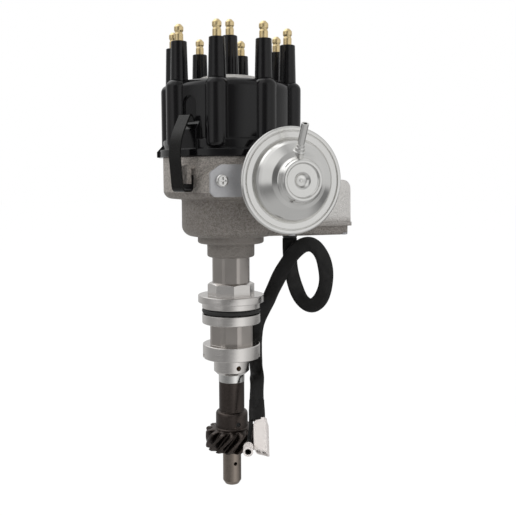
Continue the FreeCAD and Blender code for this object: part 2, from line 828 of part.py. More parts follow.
def advance_carrier():
    """Sleeve on the spindle that the weights turn: toe slots, spring posts, reluctor seat and rotor plate."""
    top = shaft_top - CARRIER_TOP_T
    body = fused([
        cylinder(CARRIER_PLATE_R, carrier_bottom, carrier_plate_top),
        cylinder(CARRIER_R, carrier_bottom, carrier_top),
        cylinder(CARRIER_TOP_R, top, carrier_top),
    ] + carrier_posts())
    cuts = [cylinder(SPINDLE_R + RUN_GAP, carrier_bottom - 1, carrier_top + 1)]
    reach = WEIGHT_PIVOT - WEIGHT_TOE
    swing = math.radians(ADVANCE_TURN * WEIGHT_TOE / reach)
    travel = reach * (1 - math.cos(swing))
    half = TOE_PIN_R + 0.35
    for bearing in weight_places():
        slot = slab(
            -half, half, -WEIGHT_TOE - travel - half, -WEIGHT_TOE + half,
            carrier_bottom - 1, carrier_plate_top + 1, half - 0.01,
        )
        cuts.append(turned(slot, bearing))
    for x in rotor_screw_places():
        cuts.append(turned(cylinder(SMALL_SCREW_R + FIT_GAP, top - 1, carrier_top + 1, x, 0), TOWER_BEARING))
    return body.cut(Part.makeCompound(cuts))


def carrier_posts():
    posts = []
    for bearing in weight_places():
        at = spring_ends(bearing)[1]
        top = carrier_plate_top + 2 * SPRING_COIL_R + 0.8
        posts.append(cylinder(SPRING_POST_R, carrier_bottom, top, at.x, at.y))
    return posts


def rotor_screw_places():
    reach = (CARRIER_R + CARRIER_TOP_R) / 2
    return (-reach, reach)


def reluctor():
    """Toothed wheel on the carrier, one tooth for each cylinder."""
    bottom = reluctor_top - RELUCTOR_L
    hub = cylinder(RELUCTOR_ROOT_R, bottom, reluctor_top)
    teeth = []
    for i in range(RELUCTOR_TEETH):
        tooth = prism([
            (-2.6, -RELUCTOR_ROOT_R + 1, 0),
            (-1.1, -RELUCTOR_R + 0.05, 0),
            (1.1, -RELUCTOR_R + 0.05, 0),
            (2.6, -RELUCTOR_ROOT_R + 1, 0),
        ], bottom, reluctor_top)
        teeth.append(turned(tooth, TOWER_BEARING + 360 / RELUCTOR_TEETH * i))
    body = fused([hub] + teeth)
    return body.cut(cylinder(CARRIER_R + FIT_GAP, bottom - 1, reluctor_top + 1))


def base_plate():
    """Fixed plate on the step of the upper bowl, with the hub that the pickup plate turns on."""
    hub_height = SNAP_RING_T + 0.8
    hub_top_z = pickup_plate_top + END_FLOAT + hub_height
    groove = pickup_plate_top + END_FLOAT
    body = revolved([
        (PLATE_BORE_R, step_top, 0),
        (BASE_PLATE_R, step_top, 0),
        (BASE_PLATE_R, step_top + BASE_PLATE_T, 0),
        (PLATE_HUB_R, step_top + BASE_PLATE_T, 0),
        (PLATE_HUB_R, groove, 0),
        (PLATE_HUB_R - 0.8, groove, 0),
        (PLATE_HUB_R - 0.8, groove + SNAP_RING_T, 0),
        (PLATE_HUB_R, groove + SNAP_RING_T, 0),
        (PLATE_HUB_R, hub_top_z, 0),
        (PLATE_BORE_R, hub_top_z, 0),
    ])
    holes = [
        cylinder(SMALL_SCREW_R + LOOSE_GAP, step_top - 1, step_top + BASE_PLATE_T + 1, x, y)
        for x, y in plate_screw_places()
    ]
    return body.cut(Part.makeCompound(holes))


def snap_ring():
    bottom = pickup_plate_top + END_FLOAT
    ring = tube(SNAP_RING_R, PLATE_HUB_R - 0.8 + FIT_GAP, bottom, bottom + SNAP_RING_T)
    mouth = turned(box(-4.0, 4.0, -SNAP_RING_R - 1, 0, bottom - 1, bottom + 2), 120)
    return ring.cut(mouth)


def pin_start():
    """Where the pull rod's pin stands at rest in the side frame: s and d."""
    half = math.radians(PLATE_TURN / 2)
    return CAN_OFFSET * math.cos(half), -CAN_OFFSET * math.sin(half)


def pickup_plate():
    """The plate that the vacuum canister turns, with the pin that its rod hooks on."""
    s, d = pin_start()
    plate = cylinder(PICKUP_PLATE_R, pickup_plate_bottom, pickup_plate_top)
    pin = side(cylinder(PIN_R, pickup_plate_bottom, CAN_UP + ROD_T, s, -d))
    body = plate.fuse(pin)
    bore = cylinder(PLATE_HUB_R + RUN_GAP, pickup_plate_bottom - 1, pickup_plate_top + 1)
    return body.cut(bore)


def pickup():
    """Magnetic pickup: a coil bobbin and pole piece on the pickup plate, facing the reluctor."""
    inner = RELUCTOR_R + POLE_GAP
    top = pickup_plate_top + PICKUP_H
    middle = reluctor_top - RELUCTOR_L / 2
    foot = slab(-PICKUP_OUT + 4, -inner - 2.0, -PICKUP_W / 2, PICKUP_W / 2, pickup_plate_top, middle - 5.5, 2.0)
    coil = slab(-PICKUP_OUT, -inner - 5.0, -PICKUP_W / 2 + 2, PICKUP_W / 2 - 2, middle - 5.5, top, 3.0)
    pole = box(-inner - 6.0, -inner + 1.5, -2.5, 2.5, middle - 3.0, middle + 3.0)
    body = fused([foot, coil, pole]).cut(cylinder(inner, pickup_plate_top - 1, top + 1))
    return side(body.cut(cylinder(SNAP_RING_R + 0.6, pickup_plate_top - 1, pickup_plate_top + 3)))


def screw(head_r, head_h, shank_r, length):
    """A pan-head screw standing on z = 0 with its shank below and a cross recess in its head."""
    head = revolved([
        (0, 0, 0),
        (head_r, 0, 0),
        (head_r, head_h, head_h * 0.6),
        (0, head_h, 0),
    ])
    shank = cylinder(shank_r, -length, 0.2)
    recess = [box(-head_r * 0.55, head_r * 0.55, -head_r * 0.13, head_r * 0.13, head_h * 0.45, head_h + 1)]
    recess.append(box(-head_r * 0.13, head_r * 0.13, -head_r * 0.55, head_r * 0.55, head_h * 0.45, head_h + 1))
    return head.fuse(shank).cut(Part.makeCompound(recess))


def moved(shape, x, y, z):
    copy = shape.copy()
    copy.translate(point(x, y, z))
    return copy


def rotor():
    """Moulded rotor with its arm, made along -Y and turned to the first tower."""
    base_top = carrier_top + ROTOR_BASE_T
    base = cylinder(ROTOR_BASE_R, carrier_top, base_top)
    half = ROTOR_W / 2
    arm = prism([
        (-half, half, 4.0),
        (-half, -half, 2.0),
        (-BLADE_W / 2 - 1.5, -blade_tip + 3, 1.5),
        (BLADE_W / 2 + 1.5, -blade_tip + 3, 1.5),
        (half, -half, 2.0),
        (half, half, 4.0),
    ], base_top - 0.5, rotor_top)
    body = fused([base, arm])
    holes = [
        cylinder(SMALL_SCREW_R + LOOSE_GAP, carrier_top - 1, base_top + 1, x, 0)
        for x in rotor_screw_places()
    ]
    return body.cut(Part.makeCompound(holes))


def rotor_blade():
    half = BLADE_W / 2
    return prism([
        (-half, half, 2.0),
        (-half, -blade_tip, 0.5),
        (half, -blade_tip, 0.5),
        (half, half, 2.0),
    ], rotor_top, blade_top)


def clip_path():
    """The clip's middle line as (radius, height, rounding), from its tip to the end of its hook."""
    bend = lug_bottom - CLIP_HOOK_DOWN
    return [
        (CAP_WALL_R + 2.0, rim + 21.2, 0),
        (CAP_WALL_R + 5.6, rim + 26.2, 1.5),
        (lug_r + 6.9, rim + 7.0, 30.0),
        (lug_r + 3.4, bend, 3.2),
        (UPPER_BOWL_R + 1.5, bend, 2.6),
        (UPPER_BOWL_R + 1.2, lug_bottom + 5.5, 0),
    ]


def clip(bearing):
    """A spring leaf bent from strip, hooked round the lug below and over the cap's seat above."""
    path = clip_path()
    left, right = [], []
    for i, (r, z, radius) in enumerate(path):
        before = path[max(i - 1, 0)]
        after = path[min(i + 1, len(path) - 1)]
        arrive = point(r - before[0], z - before[1], 0)
        leave = point(after[0] - r, after[1] - z, 0)
        if i == 0:
            arrive = leave
        if i == len(path) - 1:
            leave = arrive
        arrive.normalize()
        leave.normalize()
        middle = arrive + leave
        middle.normalize()
        across = point(-middle.y, middle.x, 0)
        stretch = CLIP_T / 2 / math.cos(arrive.getAngle(leave) / 2)
        bends_left = arrive.x * leave.y - arrive.y * leave.x > 0
        grow = CLIP_T / 2 if radius else 0
        left.append((r + across.x * stretch, z + across.y * stretch, radius - grow if bends_left else radius + grow))
        right.append((r - across.x * stretch, z - across.y * stretch, radius + grow if bends_left else radius - grow))
    corners = left + right[::-1]
    wire = outline(corners, lambda p: point(-CLIP_W / 2, -p.x, p.y))
    return turned(Part.Face(wire).extrude(point(CLIP_W, 0, 0)), bearing)


def cap_outside():
    body = revolved([
        (0, rim, 0),
        (CAP_FLANGE_R, rim, 0.4),
        (CAP_FLANGE_R, rim + CAP_FLANGE_T, 0.6),
        (CAP_STEP_R, rim + CAP_FLANGE_T + 0.4, 0.5),
        (CAP_STEP_R, rim + CAP_STEP_UP, 0.8),
        (CAP_WALL_R, rim + CAP_STEP_UP + 0.4, 0.8),
        (CAP_WALL_R, roof_top - 1.2, CAP_ROUND),
        (DOME_R, roof_top, 2.0),
        (0, roof_top, 0),
    ])
    solids = [body, cylinder(upper_bore_r - SPIGOT_GAP, rim - SPIGOT_L, rim + 1)]
    pillar = revolved([
        (0, rim + PILLAR_BOTTOM_UP, 0),
        (PILLAR_R, rim + PILLAR_BOTTOM_UP, 3.0),
        (PILLAR_R, rim + PILLAR_TOP_UP, 5.0),
        (0, rim + PILLAR_TOP_UP, 0),
    ])
    for bearing in tower_bearings():
        solids.append(turned(moved(pillar, 0, -PILLAR_RING, 0), bearing))
    return solids + [ear()] + [clip_seat(bearing) for bearing in CLIP_BEARINGS]


def towers():
    """The plug towers and the coil tower, standing on the cap's roof and pillars."""
    base = fused(cap_outside())
    foot = rim + PILLAR_TOP_UP - 4
    tower = revolved([
        (0, foot, 0),
        (TOWER_FOOT_R + 0.1, foot, 0),
        (TOWER_TOP_R, tower_top, 0.5),
        (0, tower_top, 0),
    ])
    bore = cylinder(SHANK_R + FIT_GAP, foot - 1, tower_top + 1, 0, -TOWER_RING)
    first = turned(moved(tower, 0, -TOWER_RING, 0).cut(bore), TOWER_BEARING).cut(base)
    coil = revolved([
        (0, roof_top, 0),
        (TOWER_FOOT_R + 0.4, roof_top, 0),
        (TOWER_TOP_R, coil_tower_top, 0.5),
        (0, coil_tower_top, 0),
    ])
    coil_bore = cylinder(SHANK_R + FIT_GAP, roof_top - 1, coil_tower_top + 1)
    around = [turned(first, bearing - TOWER_BEARING) for bearing in tower_bearings()]
    return around + [coil.cut(coil_bore)]


def tower_bearings():
    return [TOWER_BEARING + 360 / TOWER_COUNT * i for i in range(TOWER_COUNT)]


def ear():
    """The locating wedge on the cap's flange."""
    wire = outline([
        (CAP_WALL_R, rim, 0),
        (EAR_R, rim, 0.3),
        (EAR_R, rim + EAR_H, 0.3),
        (CAP_WALL_R, rim + CAP_STEP_UP, 0),
    ], lambda p: point(-EAR_W / 2, -p.x, p.y))
    return turned(Part.Face(wire).extrude(point(EAR_W, 0, 0)), EAR_BEARING)


def clip_seat(bearing):
    """The raised block whose sloping top takes a clip's tip."""
    high = rim + CLIP_SEAT_UP
    wire = outline([
        (CAP_BORE_R + 2, rim + 1, 0),
        (CLIP_SEAT_R, rim + 1, 0),
        (CLIP_SEAT_R, high - CLIP_SEAT_SLOPE, 0.5),
        (CAP_WALL_R, high, 0),
        (CAP_BORE_R + 2, high, 0),
    ], lambda p: point(-CLIP_SEAT_W / 2, -p.x, p.y))
    return turned(Part.Face(wire).extrude(point(CLIP_SEAT_W, 0, 0)), bearing)


def clip_window(bearing):
    """The arched recess in the cap wall above a clip's tip."""
    low = rim + CLIP_SEAT_UP
    half = WINDOW_W / 2
    wire = outline([
        (-half, low, 0),
        (half, low, 0),
        (half, low + WINDOW_H, half - 0.5),
        (-half, low + WINDOW_H, half - 0.5),
    ], lambda p: point(p.x, -CAP_WALL_R - 1, p.y))
    return turned(Part.Face(wire).extrude(point(0, WINDOW_DEPTH + 1, 0)), bearing)


def electrode(gap):
    """The inner end of a plug terminal, grown by a gap for the seat that it is moulded in."""
    half = ELECTRODE_W / 2 + gap
    return box(
        -half, half, -TOWER_RING - half, -blade_tip - SPARK_GAP + gap,
        electrode_bottom - gap, electrode_bottom + ELECTRODE_H + gap,
    )


def cap():
    body = fused(cap_outside())
    hollow = revolved([
        (0, rim - SPIGOT_L - 1, 0),
        (CAP_BORE_R, rim - SPIGOT_L - 1, 0),
        (CAP_BORE_R, roof_top - CAP_ROOF_T - 1.0, 4.0),
        (COIL_BOSS_R, roof_top - CAP_ROOF_T, 1.0),
        (COIL_BOSS_R, coil_boss_bottom(), 0.8),
        (0, coil_boss_bottom(), 0),
    ])
    cuts = [hollow, dome_seat()] + [clip_window(bearing + WINDOW_TURN) for bearing in CLIP_BEARINGS]
    for bearing in tower_bearings():
        bore = cylinder(SHANK_R + FIT_GAP, electrode_bottom, tower_top + 1, 0, -TOWER_RING)
        cuts += [turned(bore, bearing), turned(electrode(FIT_GAP), bearing)]
    cuts.append(cylinder(SHANK_R + FIT_GAP, spring_top() - 1, coil_tower_top + 1))
    cuts.append(cylinder(BUTTON_R + RUN_GAP, coil_boss_bottom() - 1, spring_top()))
    return body.cut(Part.makeCompound(cuts))


def coil_boss_bottom():
    return blade_top + END_FLOAT + 3.0


def button_bottom():
    return blade_top + END_FLOAT


def spring_top():
    return button_bottom() + BUTTON_L + BUTTON_SPRING_L


def dome_seat():
    """The shallow seat on the cap's roof that its raised disc is set in."""
    return tube(DOME_R, TOWER_FOOT_R + 1.2, roof_top - 0.8, roof_top + 1)


def cap_disc():
    """The domed disc on top of the cap, round the coil tower."""
    rise = DOME_H
    edge = 1.0
    middle = TOWER_FOOT_R + 1.2
    body = revolved([
        (middle + FIT_GAP, roof_top - 0.8, 0),
        (DOME_R - FIT_GAP, roof_top - 0.8, 0),
        (DOME_R - FIT_GAP, roof_top + edge, 0.6),
        ((DOME_R + middle) / 2 + 3.0, roof_top + rise - 0.8, 8.0),
        (middle + FIT_GAP, roof_top + rise, 0),
    ])
    return body


def terminal_head(top):
    """The snap head above a tower: a foot, a waist and a round head, with its shank's start below."""
    return revolved([
        (0, top, 0),
        (TERMINAL_FOOT_R, top, 0.2),
        (TERMINAL_FOOT_R, top + TERMINAL_H * 0.40, 0.5),
        (TERMINAL_NECK_R, top + TERMINAL_H * 0.52, 0.4),
        (TERMINAL_R, top + TERMINAL_H * 0.62, 0.7),
        (TERMINAL_R, top + TERMINAL_H * 0.84, 1.3),
        (TERMINAL_R * 0.45, top + TERMINAL_H, 0.4),
        (0, top + TERMINAL_H, 0),
    ])


def plug_terminal(bearing):
    shank = cylinder(SHANK_R, electrode_bottom + 1, tower_top + 0.5, 0, -TOWER_RING)
    head = moved(terminal_head(tower_top), 0, -TOWER_RING, 0)
    return turned(fused([head, shank, electrode(0)]), bearing)


def coil_terminal():
    return terminal_head(coil_tower_top).fuse(cylinder(SHANK_R, spring_top(), coil_tower_top + 0.5))


def carbon_button():
    bottom = button_bottom()
    return revolved([
        (0, bottom, 0),
        (BUTTON_R, bottom, 1.2),
        (BUTTON_R, bottom + BUTTON_L, 0),
        (0, bottom + BUTTON_L, 0),
    ])


def button_spring():
    """A short coil spring, drawn as a stack of turns."""
    turns = 6
    step = BUTTON_SPRING_L / turns
    bottom = button_bottom() + BUTTON_L
    outer, inner = BUTTON_R - 0.3, BUTTON_R - 1.1
    corners = [(inner, bottom, 0)]
    for i in range(turns):
        corners.append((outer - 0.25, bottom + step * i, 0))
        corners.append((outer, bottom + step * (i + 0.5), 0))
    corners += [(outer - 0.25, bottom + BUTTON_SPRING_L, 0), (inner, bottom + BUTTON_SPRING_L, 0)]
    return revolved(corners)


def bracket():
    """The canister's mounting plate, with cut corners at its free end."""
    low, high = bracket_low(), bracket_low() + BRACKET_H
    along, down = BRACKET_TOP_CUT
    plate = prism([
        (-PAD_LEFT, low + BRACKET_LOW_CUT, 1.0),
        (-PAD_LEFT + BRACKET_LOW_CUT, low, 1.0),
        (PAD_RIGHT, low, 2.0),
        (PAD_RIGHT, high, 2.0),
        (-PAD_LEFT + along, high, 1.0),
        (-PAD_LEFT, high - down, 1.0),
    ], PAD_D, bracket_front)
    holes = [cylinder(SCREW_R + LOOSE_GAP, PAD_D - 1, bracket_front + 1, s, CAN_UP) for s in BRACKET_SCREWS]
    holes.append(cylinder(ROD_SLOT / 2, PAD_D - 1, bracket_front + 1, CAN_OFFSET, CAN_UP))
    return outward(plate.cut(Part.makeCompound(holes)))


def rear_shell():
    """The canister's rear half, from the bracket to the crimped rim."""
    middle = CAN_RIM_D + CAN_RIM_T / 2
    outer = [
        (ROD_SLOT / 2 + 0.5, bracket_front, 0),
        (REAR_FOOT_R, bracket_front, 1.5),
        (REAR_R + 4.5, CAN_RIM_D - 0.8, 1.5),
        (REAR_R + 6.5, CAN_RIM_D + SHELL_T + FIT_GAP, 0),
        (CAN_R - SHELL_T - FIT_GAP, CAN_RIM_D + SHELL_T + FIT_GAP, 0),
        (CAN_R - SHELL_T - FIT_GAP, middle - DIAPHRAGM_T / 2, 0),
        (REAR_R + 4.0, middle - DIAPHRAGM_T / 2, 0),
        (REAR_FOOT_R, bracket_front + SHELL_T, 1.0),
        (ROD_SLOT / 2 + 0.5, bracket_front + SHELL_T, 0),
    ]
    return on_can(revolved(outer))


def front_shell():
    """The canister's front half: a crimped rim, a flat annulus, a bulging cone, and a raised boss."""
    middle = CAN_RIM_D + CAN_RIM_T / 2
    rim_inner = CAN_R - SHELL_T
    cavity = [
        (CAN_STEP_R - 4.4, can_front + 2.4, 0),
        (CAN_BOSS_R + 4.0, can_tip - 8.2, 0),
        (CAN_BOSS_R - 0.9, can_tip - CAN_CAVITY_DOWN, 0),
    ]
    outside = [
        (CAN_DIMPLE_R, can_tip - 1.6, 0.6),
        (CAN_BOSS_INNER_R - 0.4, can_tip - 1.0, 0.4),
        (CAN_BOSS_INNER_R, can_tip, 0.3),
        (CAN_BOSS_R - 0.6, can_tip, 0.6),
        (CAN_BOSS_R, can_tip - 1.4, 0.4),
        (CAN_BOSS_R + 0.4, can_tip - 4.0, 1.2),
        (CAN_BOSS_R + 4.6, can_tip - 6.3, 3.0),
        (CAN_STEP_R - 1.4, can_front + 3.6, 2.5),
        (CAN_STEP_R, can_front, 0.8),
        (CAN_R, can_front, 1.1),
        (CAN_R, CAN_RIM_D, 1.1),
        (REAR_R + 8.0, CAN_RIM_D, 0),
    ]
    inside = [
        (REAR_R + 8.0, CAN_RIM_D + SHELL_T, 0),
        (rim_inner, CAN_RIM_D + SHELL_T, 0),
        (rim_inner, middle + DIAPHRAGM_T / 2, 0),
        (CAN_STEP_R - SHELL_T, middle + DIAPHRAGM_T / 2, 0),
        *cavity,
        (CAN_DIMPLE_R, can_tip - CAN_CAVITY_DOWN, 0),
    ]
    shell = revolved([(0, can_tip - 3.0, 0)] + outside + inside + [(0, can_tip - CAN_CAVITY_DOWN, 0)])
    collar = nipple_rod(NIPPLE_COLLAR_R, -4.5, NIPPLE_COLLAR_L)
    seat = nipple_rod(NIPPLE_ROOT_R + FIT_GAP, -8, NIPPLE_COLLAR_L + 1)
    keep = revolved([(0, can_front, 0), (CAN_STEP_R - 4.4, can_front, 0)] + cavity + [(0, can_tip - CAN_CAVITY_DOWN, 0)])
    return on_can(shell.fuse(collar.cut(keep)).cut(seat))


def nipple_rod(radius, start, stop):
    """A rod along the nipple's axis, between two distances from where it leaves the shell."""
    lean = math.radians(NIPPLE_LEAN)
    along = point(0, math.cos(lean), math.sin(lean))
    foot = point(0, NIPPLE_OUT, can_tip - 5.6)
    return Part.makeCylinder(radius, stop - start, foot + along * start, along)


def nipple():
    root = nipple_rod(NIPPLE_ROOT_R, -1.5, NIPPLE_COLLAR_L)
    rod = root.fuse(nipple_rod(NIPPLE_R, -1.5, NIPPLE_L))
    return on_can(rod.cut(nipple_rod(NIPPLE_BORE, -3, NIPPLE_L + 1)))


def diaphragm():
    """The rubber ring clamped in the rim, with its rolled fold round the pull cup."""
    middle = CAN_RIM_D + CAN_RIM_T / 2
    low, high = middle - DIAPHRAGM_T / 2, middle + DIAPHRAGM_T / 2
    inner = PULL_CUP_R + 0.5
    return on_can(revolved([
        (inner, low, 0),
        (CAN_R - SHELL_T - FIT_GAP, low, 0),
        (CAN_R - SHELL_T - FIT_GAP, high, 0),
        (inner, high, 0),
    ]))


def pull_cup():
    """The metal cup behind the diaphragm that the rod is riveted to."""
    middle = CAN_RIM_D + CAN_RIM_T / 2
    back = middle - 2.2
    return on_can(revolved([
        (0, back, 0),
        (PULL_CUP_R, back, 1.0),
        (PULL_CUP_R, middle + 2.0, 0),
        (PULL_CUP_R - 1.2, middle + 2.0, 0),
        (PULL_CUP_R - 1.2, back + 1.2, 0),
        (0, back + 1.2, 0),
    ]))


def pull_rod():
    """The flat rod from the cup to the pickup plate's pin."""
    back = CAN_RIM_D + CAN_RIM_T / 2 - 2.2
    s, d = pin_start()
    low, high = CAN_UP - ROD_T / 2, CAN_UP + ROD_T / 2
    eye = tube(PIN_R + LOOSE_GAP + 1.6, PIN_R + LOOSE_GAP, low, high, s, -d)
    strap = box(CAN_OFFSET - ROD_W / 2, CAN_OFFSET + ROD_W / 2, -back, -d - PIN_R - LOOSE_GAP - 0.8, low, high)
    return side(eye.fuse(strap))


def canister_spring():
    """The return spring between the cup and the front shell, drawn as a stack of turns."""
    turns = 5
    high = can_tip - CAN_CAVITY_DOWN
    low = CAN_RIM_D + CAN_RIM_T / 2 - 1.0 + ROD_TRAVEL + END_FLOAT
    step = (high - low) / turns
    corners = [(7.4, low, 0)]
    for i in range(turns):
        corners.append((8.4, low + step * i, 0))
        corners.append((9.2, low + step * (i + 0.5), 0))
    corners += [(8.4, high, 0), (7.4, high, 0)]
    return on_can(revolved(corners))


def cover():
    """The plate that closes the module box from below, with the hole for the grommet."""
    plate = slab(
        COVER_START, BOX_END - COVER_INSET, -BOX_FRONT + COVER_INSET, BOX_BACK - COVER_INSET,
        cover_bottom, BOX_OPEN, 2.5,
    )
    low = [edge for edge in plate.Edges if edge.BoundBox.ZMax < cover_bottom + 0.01]
    plate = plate.makeFillet(2.0, low)
    holes = [cylinder(COVER_SCREW_R + LOOSE_GAP, cover_bottom - 1, BOX_OPEN + 1, s, y) for s, y in cover_screw_places()]
    holes += [cylinder(SMALL_HEAD_R + LOOSE_GAP, cover_bottom - 1, cover_bottom + SMALL_HEAD_H, s, y) for s, y in cover_screw_places()]
    holes.append(cylinder(GROMMET_R - 1.5 + FIT_GAP, cover_bottom - 1, BOX_OPEN + 1, GROMMET_S, -GROMMET_D))
    return side(plate.cut(Part.makeCompound(holes)))


def cover_screws():
    one = screw(SMALL_HEAD_R, SMALL_HEAD_H, COVER_SCREW_R, COVER_T - SMALL_HEAD_H + 6.0)
    one.rotate(point(0, 0, 0), point(1, 0, 0), 180)
    return [side(moved(one, s, y, cover_bottom + SMALL_HEAD_H)) for s, y in cover_screw_places()]


def module():
    """The sealed ignition module that fills the box."""
    gap = 1.0
    return side(slab(
        GROMMET_S + GROMMET_R + 3.0, BOX_END - BOX_WALL - gap,
        -BOX_FRONT + 2 * BOX_WALL + 2.4, BOX_BACK - 2 * BOX_WALL - 2.4,
        BOX_OPEN, BOX_TOP - BOX_WALL - gap, 2.0,
    ))


def grommet():
    """Rubber bush in the cover that the loom leaves through."""
    body = revolved([
        (0, cover_bottom - 2.0, 0),
        (GROMMET_R - 0.8, cover_bottom - 2.0, 0.8),
        (GROMMET_R, cover_bottom, 0),
        (GROMMET_R - 1.5, cover_bottom, 0),
        (GROMMET_R - 1.5, BOX_OPEN, 0),
        (0, BOX_OPEN, 0),
    ])
    return side(moved(body, GROMMET_S, -GROMMET_D, 0))


def grommet_exit():
    """Where the loom leaves the grommet."""
    at = point(GROMMET_S, -GROMMET_D, cover_bottom - 2.0)
    turn = math.radians(SIDE_BEARING)
    x = at.x * math.cos(turn) - at.y * math.sin(turn)
    y = at.x * math.sin(turn) + at.y * math.cos(turn)
    return point(x, y, at.z)


def cord(name, points, radius):
    """A round cord along straight runs joined by tangent arcs."""
    edges = []
    start = points[0]
    tightest = 1e9
    for before, corner, after in zip(points, points[1:], points[2:]):
        back = before - corner
        ahead = after - corner
        turn = math.pi - back.getAngle(ahead)
        bend = 0.45 * min(back.Length, ahead.Length) / math.tan(turn / 2)
        cut = bend * math.tan(turn / 2)
        back.normalize()
        ahead.normalize()
        inward = back + ahead
        inward.normalize()
        centre = corner + inward * (bend / math.cos(turn / 2))
        enter, leave = corner + back * cut, corner + ahead * cut
        edges.append(Part.LineSegment(start, enter).toShape())
        edges.append(Part.Arc(enter, centre - inward * bend, leave).toShape())
        start = leave
        tightest = min(tightest, bend)
        print(name, "bend", round(bend, 1))
    edges.append(Part.LineSegment(start, points[-1]).toShape())
    path = Part.Wire(edges)
    profile = Part.Wire([Part.makeCircle(radius, points[0], points[1] - points[0])])
    solid = path.makePipeShell([profile], True, False)
    share = solid.Volume / (math.pi * radius ** 2 * path.Length)
    print(name, "length", round(path.Length, 1), "tightest bend", round(tightest, 1), "volume share", round(share, 4))
    return solid


def tail_axis():
    """The way the boot and plug point."""
    tilt = math.radians(TAIL_TILT)
    return point(0, -math.sin(tilt), -math.cos(tilt))


def hung(shape):
    """From a frame whose origin is the top of the boot, with -z along the boot."""
    copy = shape.copy()
    copy.rotate(point(0, 0, 0), point(1, 0, 0), -TAIL_TILT)
    copy.translate(point(*BOOT_AT))
    return copy


def loom():
    points = [grommet_exit()] + [point(*at) for at in LOOM_ROUTE]
    end = point(*BOOT_AT)
    return cord("loom", points + [end - tail_axis() * LOOM_END_RUN, end], LOOM_R)


def boot():
    """The shrink sleeve where the loom divides."""
    wide, deep, tall = BOOT_SIZE
    return hung(slab(-wide / 2, wide / 2, -deep / 2, deep / 2, -tall, 0, 2.5))


def plug():
    """Two-way connector with its two open cavities."""
    wide, deep, tall = PLUG_SIZE
    body = slab(-wide / 2, wide / 2, -deep / 2, deep / 2, -tall, 0, 1.2)
    half = (wide - 3 * PLUG_WALL) / 4
    cavities = []
    for way in (-1, 1):
        middle = way * (half + PLUG_WALL / 2)
        cavities.append(box(
            middle - half, middle + half, PLUG_WALL - deep / 2, deep / 2 - PLUG_WALL, -tall - 1, 9.0 - tall,
        ))
    body = turned(body.cut(Part.makeCompound(cavities)), PLUG_TURN)
    return hung(moved(body, PLUG_SHIFT, 0, -BOOT_SIZE[2]))


def lead_points():
    """The single lead from the boot's underside to the back of the barrel, along the barrel's axis."""
    start = point(*BOOT_AT) + tail_axis() * BOOT_SIZE[2] - point(LEAD_SHIFT, 0, 0)
    corner = point(*LEAD_CORNER)
    return [start, start + tail_axis() * LEAD_DROP, corner, corner + barrel_axis() * BARREL_RUN]


def barrel_axis():
    tilt, turn = math.radians(BARREL_TILT), math.radians(BARREL_TURN)
    return point(math.cos(tilt) * math.sin(turn), -math.cos(tilt) * math.cos(turn), -math.sin(tilt))


def lead():
    return cord("lead", lead_points(), LEAD_R)


def barrel():
    """Round connector on the single lead, open at its front."""
    body = revolved([
        (0, 0, 0),
        (BARREL_R - 0.5, 0, 0.5),
        (BARREL_R, 2.0, 0.5),
        (BARREL_R, BARREL_L, 0.3),
        (BARREL_R - PLUG_WALL, BARREL_L, 0),
        (BARREL_R - PLUG_WALL, 3.0, 0),
        (0, 3.0, 0),
    ])
    body.rotate(point(0, 0, 0), point(1, 0, 0), 90 + BARREL_TILT)
    at = lead_points()[-1]
    return moved(turned(body, BARREL_TURN), at.x, at.y, at.z)


def main():
    os.makedirs("parts", exist_ok=True)
    save("housing", housing())
    save("upper_bushing", bushing(upper_bush_top - BUSH_L))
    save("lower_bushing", bushing(boss_bottom).cut(oil_hole()))
    save("pilot_seal", seal_ring())
    save("shaft", shaft())
    save("thrust_ring", tube(THRUST_RING_R, SHAFT_R + FIT_GAP, sleeve_top, ring_top))
    save("drive_gear", gear())
    save("gear_pin", gear_pin())
    save("advance_base", advance_base())
    save("weight_pins", *weight_pins())
    save("advance_weight_a", weight(weight_places()[0]))
    save("advance_weight_b", weight(weight_places()[1]))
    save("advance_springs", *[advance_spring(bearing) for bearing in weight_places()])
    save("advance_carrier", advance_carrier())
    save("reluctor", reluctor())
    save("base_plate", base_plate())
    small = screw(SMALL_HEAD_R, SMALL_HEAD_H, SMALL_SCREW_R, SMALL_SCREW_L)
    plate_top = step_top + BASE_PLATE_T
    save("base_plate_screws", *[moved(small, x, y, plate_top) for x, y in plate_screw_places()])
    save("pickup_plate", pickup_plate())
    save("plate_snap_ring", snap_ring())
    save("pickup_coil", pickup())
    rotor_level = carrier_top + ROTOR_BASE_T
    save("rotor", turned(rotor(), TOWER_BEARING))
    save("rotor_blade", turned(rotor_blade(), TOWER_BEARING))
    save("rotor_screws", *[turned(moved(small, x, 0, rotor_level), TOWER_BEARING) for x in rotor_screw_places()])
    save("cap", cap())
    save("cap_towers", *towers())
    save("cap_disc", cap_disc())
    save("plug_terminals", *[plug_terminal(bearing) for bearing in tower_bearings()])
    save("coil_terminal", coil_terminal())
    save("carbon_button", carbon_button())
    save("button_spring", button_spring())
    save("clip_front", clip(CLIP_BEARINGS[0]))
    save("clip_rear", clip(CLIP_BEARINGS[1]))
    save("vacuum_bracket", bracket())
    big = screw(SCREW_HEAD_R, SCREW_HEAD_H, SCREW_R, SCREW_L + BRACKET_T)
    save("bracket_screws", *[outward(moved(big, s, CAN_UP, bracket_front)) for s in BRACKET_SCREWS])
    save("vacuum_rear_shell", rear_shell())
    save("vacuum_front_shell", front_shell())
    save("vacuum_nipple", nipple())
    save("diaphragm", diaphragm())
    save("pull_cup", pull_cup())
    save("pull_rod", pull_rod())
    save("canister_spring", canister_spring())
    save("module", module())
    save("module_cover", cover())
    save("cover_screws", *cover_screws())
    save("loom_grommet", grommet())
    save("loom", loom())
    save("loom_boot", boot())
    save("two_way_plug", plug())
    save("single_lead", lead())
    save("barrel_plug", barrel())


main()
